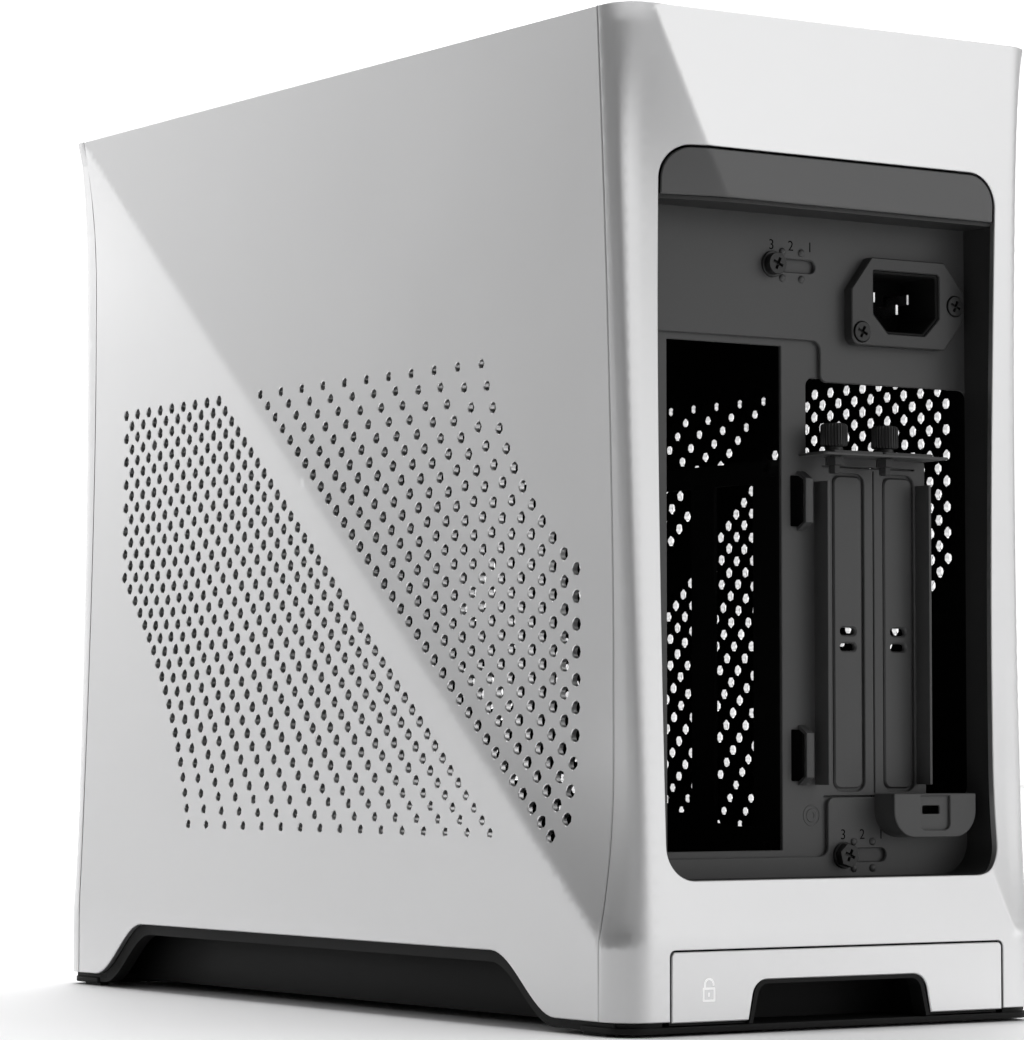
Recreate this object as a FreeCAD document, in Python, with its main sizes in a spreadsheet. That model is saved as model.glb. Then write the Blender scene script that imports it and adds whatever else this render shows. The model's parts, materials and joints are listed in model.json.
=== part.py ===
import FreeCAD, Part
import math
import os
import Sketcher

# A small-form-factor desktop computer tower, empty of its electronics. Millimetres.
# X runs across the narrow case, Y along its length with the rear at +Y, and Z up. The origin is
# the middle of the footprint, on the floor. The aluminium skin has a shallow hollow in every face,
# folded along a diagonal that starts at the face's upper left and ends at its lower right.

os.makedirs("parts", exist_ok=True)
doc = FreeCAD.newDocument("tower")
V = FreeCAD.Vector

SIZES = {
    "half_width": 82.5,
    "half_length": 183.0,
    "height": 314.0,
    "skin": 2.0,
    "gap": 0.3,
    "skin_bottom": 4.5,
    "band_top": 28.0,
    "seam": 170.0,
    "fold_depth": 5.8,
    "corner": 12.0,
    "sheet": 1.2,
    "arch_top": 23.75,
    "soffit": 20.0,
    "plinth_bottom": 1.5,
    "floor_low": 26.0,
    "frame_top": 300.0,
    "chassis_half": 72.0,
    "wall_rear": 165.0,
    "wall_front": -165.0,
    "open_half": 65.5,
    "open_low": 46.8,
    "open_high": 271.8,
    "open_corner": 10.5,
    "band_low": 256.4,
    "io_low_x": 7.9,
    "io_high_x": 52.1,
    "io_low_z": 55.1,
    "io_high_z": 213.8,
    "spine_x": -2.2,
    "spine_travel": 15.0,
    "slot_pitch": 20.32,
    "slot_first": -18.7,
    "shelf_top": 180.0,
    "inlet_x": -38.5,
    "inlet_z": 229.5,
    "fan_size": 120.0,
    "fan_depth": 25.0,
    "fan_place": 62.0,
    "fan_hole": 105.0,
    "tray_half": 64.5,
    "tray_low": 4.2,
    "tray_high": 25.4,
    "port_z": 15.0,
    "button_x": 48.0,
    "filter_low": 21.0,
    "filter_high": 24.0,
}
sheet = doc.addObject("Spreadsheet::Sheet", "d")
for row, (name, value) in enumerate(SIZES.items(), 1):
    sheet.set(f"A{row}", name)
    sheet.set(f"B{row}", str(value))
    sheet.setAlias(f"B{row}", name)
doc.recompute()
nodes = []


def size(name):
    return float(sheet.get(name))


# ---- Helpers: bound primitives, plates drawn as sketches, and booleans ----

def bind(piece, **expressions):
    for name, text in expressions.items():
        piece.setExpression(name, str(text))
    return piece


def place(piece, x, y, z, turn=None):
    if turn:
        piece.Placement = FreeCAD.Placement(V(), FreeCAD.Rotation(V(*turn[0]), turn[1]))
    for axis, text in zip("xyz", (x, y, z)):
        piece.setExpression(f"Placement.Base.{axis}", str(text))
    return piece


def box(x, y, z):
    """A block between the low and high values given for each axis."""
    spans = [f"({high}) - ({low})" for low, high in (x, y, z)]
    piece = doc.addObject("Part::Box", "block")
    bind(piece, Length=spans[0], Width=spans[1], Height=spans[2])
    return place(piece, x[0], y[0], z[0])


TURNS = {"x": ((0, 1, 0), 90), "y": ((1, 0, 0), -90), "z": None}


def rod(axis, radius, start, length):
    """A cylinder that starts at a point and runs along +x, +y or +z."""
    piece = doc.addObject("Part::Cylinder", "rod")
    bind(piece, Radius=radius, Height=length)
    return place(piece, *start, turn=TURNS[axis])


def group(kind, pieces):
    piece = doc.addObject(kind, "joined")
    if kind == "Part::Compound":
        piece.Links = pieces
    else:
        piece.Shapes = pieces
    return piece


def fuse(*pieces):
    return pieces[0] if len(pieces) == 1 else group("Part::MultiFuse", list(pieces))


def cut(base, *tools):
    piece = doc.addObject("Part::Cut", "cut")
    piece.Base = base
    piece.Tool = fuse(*tools)
    return piece


def rounded(block, axis, radius):
    """Rounds the edges of a block that run along an axis."""
    doc.recompute()
    along = {"x": V(1, 0, 0), "y": V(0, 1, 0), "z": V(0, 0, 1)}[axis]
    piece = doc.addObject("Part::Fillet", "rounded")
    piece.Base = block
    edges = []
    for index, edge in enumerate(block.Shape.Edges, 1):
        direction = edge.Vertexes[1].Point - edge.Vertexes[0].Point
        if direction.cross(along).Length < 1e-6:
            edges.append((index, radius, radius))
    piece.Edges = edges
    return piece


def node(label, piece):
    piece.Label = label
    nodes.append(piece)
    return piece


def feature(label, shape):
    piece = doc.addObject("Part::Feature", label)
    piece.Shape = shape
    return piece


def new_body(label):
    body = doc.addObject("PartDesign::Body", "body")
    return node(label, body)


def new_sketch(body, plane, at):
    """A sketch on one of the body's own planes, moved to a place along that plane's axis."""
    role = {"z": "XY_Plane", "y": "XZ_Plane", "x": "YZ_Plane"}[plane]
    sketch = body.newObject("Sketcher::SketchObject", "sketch")
    support = [part for part in body.Origin.OriginFeatures if part.Role == role][0]
    sketch.AttachmentSupport = [(support, "")]
    sketch.MapMode = "FlatFace"
    sign = "-" if plane == "y" else ""
    sketch.setExpression("AttachmentOffset.Base.z", f"{sign}({at})")
    return sketch


def number(text):
    """The value of an expression in the sheet's names."""
    return float(sheet.evalExpression(str(text)))


def draw_rectangle(sketch, across, up):
    """Four lines, each corner held by distances bound to the sheet."""
    x0, x1, y0, y1 = (number(text) for text in (*across, *up))
    corners = [V(x0, y0, 0), V(x1, y0, 0), V(x1, y1, 0), V(x0, y1, 0)]
    first = sketch.GeometryCount
    for index in range(4):
        sketch.addGeometry(Part.LineSegment(corners[index], corners[(index + 1) % 4]), False)
    for index in range(4):
        line = first + index
        after = first + (index + 1) % 4
        sketch.addConstraint(Sketcher.Constraint("Coincident", line, 2, after, 1))
        kind = "Horizontal" if index % 2 == 0 else "Vertical"
        sketch.addConstraint(Sketcher.Constraint(kind, line))
    for line, kind, value, text in (
        (first, "DistanceX", x0, across[0]),
        (first, "DistanceY", y0, up[0]),
        (first + 2, "DistanceX", x1, across[1]),
        (first + 2, "DistanceY", y1, up[1]),
    ):
        held = sketch.addConstraint(Sketcher.Constraint(kind, line, 1, value))
        sketch.setExpression(f"Constraints[{held}]", str(text))


def draw_circle(sketch, across, up, radius):
    x, y, r = number(across), number(up), number(radius)
    circle = sketch.addGeometry(Part.Circle(V(x, y, 0), V(0, 0, 1), r), False)
    for kind, value, text in (("DistanceX", x, across), ("DistanceY", y, up)):
        held = sketch.addConstraint(Sketcher.Constraint(kind, circle, 3, value))
        sketch.setExpression(f"Constraints[{held}]", str(text))
    held = sketch.addConstraint(Sketcher.Constraint("Radius", circle, r))
    sketch.setExpression(f"Constraints[{held}]", str(radius))


def plate(label, plane, at, thick, outline, windows=(), holes=()):
    """A sheet-metal plate: one padded sketch with rectangular windows and round holes.

    The plate's low face is at `at` along the plane's axis, and it grows towards that axis's plus.
    """
    body = new_body(label)
    sketch = new_sketch(body, plane, at)
    draw_rectangle(sketch, *outline)
    for window in windows:
        draw_rectangle(sketch, *window)
    for hole in holes:
        draw_circle(sketch, *hole)
    pad = body.newObject("PartDesign::Pad", "pad")
    pad.Profile = sketch
    pad.Reversed = plane == "y"
    pad.setExpression("Length", str(thick))
    body.Tip = pad
    return body


def turned(label, profile, at):
    """A body of revolution about a vertical axis: the profile is (radius, height) points."""
    body = new_body(label)
    sketch = new_sketch(body, "y", 0)
    points = [V(radius, height, 0) for radius, height in profile]
    for start, end in zip(points, points[1:] + points[:1]):
        sketch.addGeometry(Part.LineSegment(start, end), False)
    count = len(points)
    for index in range(count):
        sketch.addConstraint(Sketcher.Constraint("Coincident", index, 2, (index + 1) % count, 1))
    turn = body.newObject("PartDesign::Revolution", "turn")
    turn.Profile = sketch
    turn.ReferenceAxis = (sketch, ["V_Axis"])
    turn.Angle = 360
    body.Tip = turn
    return place(body, *at)


# ---- The folded skin ----

def fade(rise):
    """How deep the hollow is against the height in its triangle, from 0 to 1."""
    if rise < 0.2:
        return 1 - (1 - rise / 0.2) ** 2.2
    if rise < 0.3:
        return 1.0
    return 1 - ((rise - 0.3) / 0.7) ** 1.6


def hollow(across, rise):
    """How far a face stands in from flat, with both places given from 0 to 1."""
    soft = 0.02
    side = across + rise - 1
    near = math.sqrt(side * side + soft * soft)
    scale = size("fold_depth")
    if side > 0:
        return scale * fade(rise) * near / max(rise, soft)
    return scale * fade(1 - rise) * near / max(1 - rise, soft)


def outline_points(inset, rise):
    """One closed level of the skin, anticlockwise from the front end of the +X face."""
    corner = size("corner")
    long_half = size("half_length") - corner
    short_half = size("half_width") - corner
    flat = rise <= 0 or rise >= 1
    half = []
    for step in range(19):
        across = step / 18
        deep = 0 if flat else hollow(across, rise)
        half.append(V(size("half_width") - inset - deep, (2 * across - 1) * long_half, 0))
    rear = []
    for step in range(12):
        across = step / 11
        deep = 0 if flat else hollow(across, rise)
        rear.append(V((1 - 2 * across) * short_half, size("half_length") - inset - deep, 0))
    other = [V(-point.x, -point.y, 0) for point in half[:2]]
    first_turn = bend(half[-2], half[-1], rear[0], rear[1])
    second_turn = bend(rear[-2], rear[-1], other[0], other[1])
    half = half + first_turn + rear + second_turn
    return half + [V(-point.x, -point.y, 0) for point in half]


def bend(before, start, end, after):
    """Three points round a corner that leaves and meets the faces along their own slopes."""
    reach = 0.56 * size("corner")
    lead = (start - before).normalize() * reach
    trail = (end - after).normalize() * reach
    reach_points = [start, start + lead, end + trail, end]
    turn = []
    for step in (0.25, 0.5, 0.75):
        back = 1 - step
        weights = (back ** 3, 3 * back * back * step, 3 * back * step * step, step ** 3)
        point = V()
        for weight, place_point in zip(weights, reach_points):
            point = point + place_point * weight
        turn.append(point)
    return turn


def spread(points):
    """Where each point lies along the closed level, from 0 to 1."""
    lengths = [0.0]
    for start, end in zip(points, points[1:] + points[:1]):
        lengths.append(lengths[-1] + (end - start).Length)
    return [length / lengths[-1] for length in lengths]


RISES = (0.03, 0.07, 0.12, 0.17, 0.23, 0.3, 0.4, 0.5, 0.6, 0.7, 0.77, 0.83, 0.88, 0.93, 0.97)


def skin_solid(inset, low, high):
    """A solid of the skin's outline, set in by a distance, between two heights."""
    band = size("band_top")
    top = size("height")
    levels = [(low, 0), (band, 0)]
    levels += [(band + rise * (top - band), rise) for rise in RISES]
    levels += [(top, 1)]
    if high > top:
        levels += [(high, 1)]
    wires = []
    places = spread(outline_points(0, 0))
    for level, rise in levels:
        points = [V(point.x, point.y, level) for point in outline_points(inset, rise)]
        curve = Part.BSplineCurve()
        curve.interpolate(Points=points, PeriodicFlag=True, Parameters=places)
        wires.append(Part.Wire([curve.toShape()]))
    return Part.makeLoft(wires, True, True)


def arch_face(places, top, bottom):
    """The outline of a wide arch on the Y-Z plane: feet, shoulders and a flat top."""
    foot, shoulder, far_shoulder, far_foot = places
    rise_one = Part.BezierCurve()
    lean = 0.35 * (shoulder - foot)
    rise_one.setPoles([V(0, foot, bottom), V(0, foot + lean, bottom),
                       V(0, shoulder - lean, top), V(0, shoulder, top)])
    lean = 0.35 * (far_foot - far_shoulder)
    rise_two = Part.BezierCurve()
    rise_two.setPoles([V(0, far_shoulder, top), V(0, far_shoulder + lean, top),
                       V(0, far_foot - lean, bottom), V(0, far_foot, bottom)])
    edges = [
        rise_one.toShape(),
        Part.LineSegment(V(0, shoulder, top), V(0, far_shoulder, top)).toShape(),
        rise_two.toShape(),
        Part.LineSegment(V(0, far_foot, bottom), V(0, far_foot, -5)).toShape(),
        Part.LineSegment(V(0, far_foot, -5), V(0, foot, -5)).toShape(),
        Part.LineSegment(V(0, foot, -5), V(0, foot, bottom)).toShape(),
    ]
    return Part.Face(Part.Wire(edges))


def both_sides(shape):
    """The shape and its copy turned half round the vertical axis."""
    other = shape.copy()
    other.rotate(V(), V(0, 0, 1), 180)
    return shape.fuse(other)


def block(low, high):
    return Part.makeBox(high[0] - low[0], high[1] - low[1], high[2] - low[2], V(*low))


def soft_block(low, high, radius, axis):
    shape = block(low, high)
    along = {"x": V(1, 0, 0), "y": V(0, 1, 0), "z": V(0, 0, 1)}[axis]
    edges = []
    for edge in shape.Edges:
        direction = edge.Vertexes[1].Point - edge.Vertexes[0].Point
        if direction.cross(along).Length < 1e-6:
            edges.append(edge)
    return shape.makeFillet(radius, edges)


half_width = size("half_width")
half_length = size("half_length")
gap = size("gap")
seam = size("seam")
lid_top = size("height")
outer = skin_solid(0, size("skin_bottom"), lid_top)
inner = skin_solid(size("skin"), 3.0, lid_top + 2)
skin = outer.cut(inner)
skin_arch = arch_face((-157, -122, 110, 146), size("arch_top"), size("skin_bottom"))
skin_arches = both_sides(skin_arch.extrude(V(100, 0, 0)))

side_room = block((40, -seam + gap, 0), (90, seam - gap, 320))
right_panel = skin.common(side_room).cut(skin_arches)
node("right_side_panel", feature("right_side_panel", right_panel))
left_panel = right_panel.copy()
left_panel.rotate(V(), V(0, 0, 1), 180)
node("left_side_panel", feature("left_side_panel", left_panel))

opening_half = size("open_half")
opening_low = size("open_low")
opening_high = size("open_high")
opening = soft_block((-opening_half, 150, opening_low), (opening_half, 190, opening_high),
                     size("open_corner"), "y")
tray_half = size("tray_half") + 0.6
tray_room = soft_block((-tray_half, 150, -10), (tray_half, 190, size("tray_high") + 0.6), 2, "y")
rear_skin = skin.common(block((-90, seam, 0), (90, 190, 320)))
node("rear_cover", feature("rear_cover", rear_skin.cut(opening).cut(tray_room)))

band_half = opening_half - 0.6
band_room = soft_block((-band_half, 150, 230), (band_half, 190, opening_high - 0.6), 10, "y")
band_room = band_room.common(block((-90, 150, size("band_low")), (90, 190, 300)))
node("rear_band", feature("rear_band", rear_skin.common(band_room)))

# The black lining of the rear opening runs from the wall out to the back of the skin.
lining = soft_block((-opening_half - 1.2, size("wall_rear"), opening_low - 1.2),
                    (opening_half + 1.2, 190, opening_high + 1.2), 11.7, "y").cut(opening)
ledge = block((-opening_half, size("wall_rear"), size("band_low") - 1.2),
              (opening_half, 190, size("band_low")))
node("rear_bezel", feature("rear_bezel", lining.fuse(ledge).common(inner)))


# ---- Front cover and its row of ports ----

port_z = size("port_z")
PORTS = {"usb_c_port": 22, "usb_a_port_1": 0, "usb_a_port_2": -22}
PORT_SIZES = {"usb_c_port": (9.0, 3.2), "usb_a_port_1": (13.1, 5.7), "usb_a_port_2": (13.1, 5.7)}
jack_x = -44
button_x = size("button_x")
front_skin = skin.common(block((-90, -190, 0), (90, -seam, 320)))
port_tools = []
for name, x in PORTS.items():
    wide, tall = PORT_SIZES[name]
    port_tools.append(soft_block((x - wide / 2 - 0.35, -190, port_z - tall / 2 - 0.35),
                                 (x + wide / 2 + 0.35, -170, port_z + tall / 2 + 0.35), 0.9, "y"))
port_tools.append(Part.makeCylinder(3.5, 20, V(jack_x, -190, port_z), V(0, 1, 0)))
port_tools.append(Part.makeCylinder(5.4, 20, V(button_x, -190, port_z), V(0, 1, 0)))
node("front_cover", feature("front_cover", front_skin.cut(port_tools)))


# ---- Plinth ----

plinth_out = soft_block((-80.2, -180.7, size("plinth_bottom")), (80.2, 180.7, size("floor_low")),
                        10, "z")
plinth_in = soft_block((-75.8, -176.3, -5), (75.8, 176.3, 60), 6, "z")
lining_arch = arch_face((-153.5, -119, 107, 142.5), size("soffit"), size("plinth_bottom"))
plinth_arches = both_sides(lining_arch.extrude(V(100, 0, 0)))
rear_gap = block((-66.5, 150, -5), (66.5, 190, 60))
port_gap = block((-56, -190, 8), (60, -150, 22))
plinth = plinth_out.cut(plinth_in).cut(plinth_arches).cut(rear_gap).cut(port_gap)
node("base_frame", feature("base_frame", plinth))

pads = []
for across in (-1, 1):
    for along in (-1, 1):
        x = sorted((across * 76.4, across * 79.6))
        y = sorted((along * 158, along * 170))
        pads.append(box(x, y, (0, "d.plinth_bottom")))
node("foot_pads", group("Part::Compound", pads))


# ---- Chassis plates ----

fan_holes = []
for along in ("d.fan_place", "-d.fan_place"):
    fan_holes.append((0, along, 57))
    for across in (-1, 1):
        for shift in (-1, 1):
            fan_holes.append((f"{across} * d.fan_hole / 2",
                              f"{along} + {shift} * d.fan_hole / 2", 2.25))
plate("floor_plate", "z", "d.floor_low", "d.sheet",
      (("-75", "75"), ("-d.half_length + 8", "d.half_length - 8")), holes=fan_holes)
plate("top_frame", "z", "d.frame_top", 1.5,
      (("-d.chassis_half", "d.chassis_half"), ("-172", "172")), windows=[((-60, 60), (-128, 128))])
bracket_holes = [(x, y, radius if radius > 10 else 2.6) for x, y, radius in fan_holes]
plate("radiator_bracket", "z", "d.frame_top + 1.5", 1.5, (("-66", "66"), ("-134", "134")),
      holes=bracket_holes)
plate("front_wall", "y", "d.wall_front - d.sheet", "d.sheet",
      (("-d.chassis_half", "d.chassis_half"), ("d.floor_low + d.sheet", "d.frame_top")),
      windows=[((-54, 54), (60, 200)), ((-54, 54), (222, 286))])
plate("psu_bracket", "y", -48, "d.sheet", ((-66, 66), (228, "d.frame_top")),
      windows=[((-50, 50), (236, 284))],
      holes=[(x, z, 1.9) for x in (-57, 57) for z in (232, 290)])
plate("drive_bracket", "x", "d.chassis_half - 6", "d.sheet", ((-150, -70), (225, 290)),
      holes=[(y, z, 1.7) for y in (-140, -80) for z in (233, 282)])

rails = []
for side in (-1, 1):
    x = sorted((f"{side} * (d.chassis_half - 2)", f"{side} * d.chassis_half"), reverse=side < 0)
    rails.append(box(x, ("d.wall_front", "d.wall_rear - d.sheet"), (288, "d.frame_top")))
node("side_rails", group("Part::Compound", rails))

# The rear wall is drawn as one plate, then opened for the spine, its slots and the inlet.
wall_back = "d.wall_rear - d.sheet"
wall_plate = box(("-d.chassis_half", "d.chassis_half"), (wall_back, "d.wall_rear"),
                 ("d.floor_low + d.sheet", "d.frame_top"))
wall_span = (140, 190)
spine_room = fuse(
    rounded(box((-9, 61), wall_span, (53, 203)), "y", 3),
    rounded(box((-66.5, 61), wall_span, (71.6, 203)), "y", 3),
    rounded(box((-6.7, 61), wall_span, (190, 216)), "y", 3),
)
slot_cuts = []
dimples = []
for x, z in (("12.4", 239.4), ("-15.1", 53.3)):
    slot_cuts.append(rounded(box((f"{x} - d.spine_travel - 2.1", f"{x} + 2.1"), wall_span,
                                 (z - 2.1, z + 2.1)), "y", 2.0))
    for step in (0.27, 0.77):
        for up in (-4.2, 4.2):
            if z + up > 52:
                dimples.append(rod("y", 1.15, (f"{x} - {step} * d.spine_travel", 164.4, z + up), 2))
inlet_room = rounded(box(("d.inlet_x - 14.4", "d.inlet_x + 14.4"), wall_span,
                         ("d.inlet_z - 10.8", "d.inlet_z + 10.8")), "y", 0.5)
node("rear_wall", cut(wall_plate, spine_room, inlet_room, *slot_cuts, *dimples))

foot_low = rounded(box((-60.8, -27.6), ("d.wall_rear", 175.2), (58.8, 80)), "y", 8)
foot_top = cut(foot_low, box((-70, -20), (160, 180), (72.7, 90)))
foot_hollow = box((-70, -20), ("d.wall_rear - 1", 174), (50, 71.5))
foot_slot = box((-46.6, -39.6), (170, 180), (66.2, 68.9))
node("slot_foot_bracket", cut(foot_top, foot_hollow, foot_slot))


# ---- Sliding spine ----

plate_span = ("d.wall_rear - d.sheet - d.gap - 1.2", "d.wall_rear - d.sheet - d.gap")
spine_main = box((-50, 62), plate_span, (50, "d.shelf_top"))
spine_upper = box((1, 62), plate_span, ("d.shelf_top", 222))
lug_top = box((4, 21), plate_span, (222, 247))
lug_low = box((-24, -6), plate_span, (47.5, 50))
io_window = box(("d.io_low_x", "d.io_high_x"), wall_span, ("d.io_low_z", "d.io_high_z"))
slot_windows = []
bridges = []
for index in range(2):
    middle = f"d.slot_first - {index} * d.slot_pitch"
    slot_windows.append(rounded(box((f"{middle} - 6.4", f"{middle} + 6.4"), wall_span, (73.4, 174.6)),
                                "y", 2.5))
for low in (75.3, 155.5):
    slot_windows.append(box((-1.6, 2.6), wall_span, (low + 1.5, low + 17.6)))
    strap = box((-1.2, 1.8), ("d.wall_rear - 1.5", "d.wall_rear + 3.2"), (low, low + 19.1))
    under = box((-3, 4), ("d.wall_rear - 2", "d.wall_rear + 2"), (low + 1.2, low + 17.9))
    bridges.append(cut(strap, under))
flanges = [
    box((-6.1, -5.1), ("d.wall_rear - 1.5", "d.wall_rear + 5.4"), (75.5, 171.4)),
    box((-47, -46), ("d.wall_rear - 1.5", "d.wall_rear + 5.4"), (75.5, 171.4)),
]
shelf = box((-49.5, 1), ("d.wall_rear - 2.7", "d.wall_rear + 12"), ("d.shelf_top - 1", "d.shelf_top"))
screw_places = ["d.slot_first + 11.4", "d.slot_first + 11.4 - d.slot_pitch"]
shelf_holes = [rod("z", 2.0, (x, "d.wall_rear + 6", 170), 20) for x in screw_places]
SPINE_SCREWS = {"spine_screw_top": (12.4, 239.4, 3.4), "spine_screw_bottom": (-15.1, 53.3, 3.6)}
screw_holes = [rod("y", 1.8, (x, 150, z), 30) for x, z, head in SPINE_SCREWS.values()]
spine_face = cut(fuse(spine_main, spine_upper, lug_top, lug_low, shelf, *bridges, *flanges),
                 io_window, *slot_windows, *shelf_holes, *screw_holes)
node("spine_plate", spine_face)

plate("spine_tray", "x", "d.spine_x", "d.sheet",
      ((-150, "d.wall_rear - d.sheet - d.gap - 1.2"), (52.8, "d.shelf_top - 1")),
      windows=[((20, 102.7), (62, 172)), ((115.3, 136.5), (62, 172)), ((-130, 0), (70, 160))])

standoff_places = [(y, z) for y in (-5.5, 152.0) for z in (56.0, 176.0)]
standoffs = []
for y, z in standoff_places:
    stud = rod("x", 2.7, ("d.spine_x + d.sheet", y, z), 6.5)
    bore = rod("x", 1.5, ("d.spine_x + d.sheet + 2.5", y, z), 6)
    standoffs.append(cut(stud, bore))
node("standoffs", group("Part::Compound", standoffs))

for index in range(2):
    middle = f"d.slot_first - {index} * d.slot_pitch"
    face_span = ("d.wall_rear - d.sheet - d.gap - 2.2", "d.wall_rear - d.sheet - d.gap - 1.2")
    strip = box((f"{middle} - 9.2", f"{middle} + 9.2"), face_span, (70.5, "d.shelf_top"))
    rib = rounded(box((f"{middle} - 6.0", f"{middle} + 6.0"),
                      ("d.wall_rear - d.sheet - d.gap - 2.2", "d.wall_rear - d.sheet - d.gap"),
                      (73.8, 174.2)), "y", 2.2)
    tab = box((f"{middle} - 5", f"{middle} + 14.9"),
              ("d.wall_rear - d.sheet - d.gap - 2.2", "d.wall_rear + 10.5"),
              ("d.shelf_top", "d.shelf_top + 1"))
    tab_hole = rod("z", 2.0, (screw_places[index], "d.wall_rear + 6", "d.shelf_top - 2"), 5)
    vents = []
    for low in (118, 123):
        vents.append(rounded(box((f"{middle} - 3", f"{middle} + 3"), wall_span, (low, low + 2.4)),
                             "y", 1.1))
    node(f"slot_cover_{index + 1}", cut(fuse(strip, rib, tab), tab_hole, *vents))
    turned(f"thumbscrew_{index + 1}",
           [(0, -7), (1.6, -7), (1.85, -6.4), (1.85, 0), (5.2, 0), (5.2, 7.3), (4.2, 8.3), (0, 8.3)],
           (screw_places[index], "d.wall_rear + 6", "d.shelf_top + 1"))

shank = "d.wall_rear - d.sheet - d.gap - 4"
for name, (x, z, head) in SPINE_SCREWS.items():
    pin = rod("y", 1.75, (x, shank, z), "d.sheet + d.gap + 4")
    washer = rod("y", 4.2, (x, "d.wall_rear + 0.2", z), 0.8)
    top = rod("y", head, (x, "d.wall_rear + 1", z), 2.4)
    neck = rod("y", 1.75, (x, "d.wall_rear - 0.5", z), 1)
    cross = fuse(box((x - 2, x + 2), ("d.wall_rear + 2", 170), (z - 0.45, z + 0.45)),
                 box((x - 0.45, x + 0.45), ("d.wall_rear + 2", 170), (z - 2, z + 2)))
    node(name, cut(fuse(pin, neck, washer, top), cross))


# ---- Mains inlet and its internal lead ----

def inlet_flange(low, high):
    """The flange's outline: three corners cut off, and a square one under the near screw."""
    x, z = size("inlet_x"), size("inlet_z")
    outline = [(21.7, -14.2), (21.7, 3.6), (14.0, 14.1), (-15.5, 14.1), (-22.5, 5.0),
               (-22.5, -4.9), (-15.5, -14.2)]
    points = [V(x + across, low, z + up) for across, up in outline]
    return Part.Face(Part.makePolygon(points + points[:1])).extrude(V(0, high - low, 0))


def inlet_outline(half_wide, half_tall, chamfer, low, high):
    """A six-sided inlet shape, flat on top with its two lower corners cut off."""
    x, z = size("inlet_x"), size("inlet_z")
    points = [
        V(x - half_wide, low, z + half_tall),
        V(x + half_wide, low, z + half_tall),
        V(x + half_wide, low, z - half_tall + chamfer),
        V(x + half_wide - chamfer, low, z - half_tall),
        V(x - half_wide + chamfer, low, z - half_tall),
        V(x - half_wide, low, z - half_tall + chamfer),
    ]
    return Part.Face(Part.makePolygon(points + points[:1])).extrude(V(0, high - low, 0))


wall = size("wall_rear")
inlet_x = size("inlet_x")
inlet_z = size("inlet_z")
INLET_SCREWS = ((-20.3, 219.5), (-58.4, 229.8))
FLANGE_THICK = 4
LUG_RADIUS = 4.1
LUG_THICK = 3
BARREL_HALF = (14, 10.4)
BARREL_DEPTH = 24
SOCKET_HALF = (12.6, 9.2)
SOCKET_CORNER = 5.4
SOCKET_DEPTH = 16
PIN_PLACES = ((-7, 2.4), (7, 2.4), (0, -1.5))
PIN_HALF = (1, 2)
SCREW_BORE = 1.8
HEAD_BORE = 3.8

flange = inlet_flange(wall, wall + FLANGE_THICK)
for x, z in INLET_SCREWS:
    flange = flange.fuse(Part.makeCylinder(LUG_RADIUS, LUG_THICK, V(x, wall, z), V(0, 1, 0)))
wide, tall = BARREL_HALF
barrel = block((inlet_x - wide, wall - BARREL_DEPTH, inlet_z - tall),
               (inlet_x + wide, wall, inlet_z + tall))
socket = inlet_outline(*SOCKET_HALF, SOCKET_CORNER, wall - SOCKET_DEPTH, wall + 2 * FLANGE_THICK)
housing = flange.fuse(barrel).cut(socket)
wide, tall = PIN_HALF
blades = []
for shift, rise in PIN_PLACES:
    x, z = inlet_x + shift, inlet_z + rise
    blades.append(block((x - wide, wall - BARREL_DEPTH + 1, z - tall),
                        (x + wide, wall - 1.5, z + tall)))
for blade in blades:
    housing = housing.cut(blade)
for x, z in INLET_SCREWS:
    behind = V(x, wall - BARREL_DEPTH, z)
    housing = housing.cut(Part.makeCylinder(SCREW_BORE, 2 * BARREL_DEPTH, behind, V(0, 1, 0)))
    above = V(x, wall + LUG_THICK, z)
    housing = housing.cut(Part.makeCylinder(HEAD_BORE, BARREL_DEPTH, above, V(0, 1, 0)))
node("inlet_housing", feature("inlet_housing", housing))
node("inlet_pins", feature("inlet_pins", Part.makeCompound(blades)))
inlet_screws = []
for x, z in INLET_SCREWS:
    inlet_screws.append(fuse(rod("y", 1.7, (x, "d.wall_rear", z), LUG_THICK),
                             rod("y", 3.2, (x, f"d.wall_rear + {LUG_THICK}", z), 2.0)))
node("inlet_screws", group("Part::Compound", inlet_screws))

LEAD_RADIUS = 3.0
LEAD_ROUTE = ((-38.5, 141.0, 229.5), (-38.5, 108.0, 229.5), (-34.0, 70.0, 241.0),
              (-20.0, 32.0, 256.0), (-7.0, -1.0, 260.0), (-7.0, -20.0, 260.0))


def lead_path(route):
    """Straight runs joined by tangent arcs, as large as the runs allow."""
    points = [V(*point) for point in route]
    edges = []
    last = points[0]
    for before, point, after in zip(points, points[1:], points[2:]):
        run_in = (point - before).normalize()
        run_out = (after - point).normalize()
        turn = run_in.getAngle(run_out)
        back = 0.45 * min((point - before).Length, (after - point).Length)
        start = point - run_in * back
        end = point + run_out * back
        radius = back / math.tan(turn / 2)
        inside = (run_out - run_in).normalize()
        middle = point + inside * (radius / math.cos(turn / 2) - radius)
        edges.append(Part.LineSegment(last, start).toShape())
        edges.append(Part.Arc(start, middle, end).toShape())
        last = end
    edges.append(Part.LineSegment(last, points[-1]).toShape())
    return Part.Wire(edges)


path = lead_path(LEAD_ROUTE)
lead_start = V(*LEAD_ROUTE[0])
lead_end = Part.makeCircle(LEAD_RADIUS, lead_start, V(*LEAD_ROUTE[1]) - lead_start)
lead = path.makePipeShell([Part.Wire([lead_end])], True, True)
node("inlet_lead", feature("inlet_lead", lead))
plug = cut(box((-20, 6), (-45.5, -20), (249, 271)), rod("y", 1.2, (-7, -46, 260), 4))
node("inlet_plug", plug)


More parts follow.
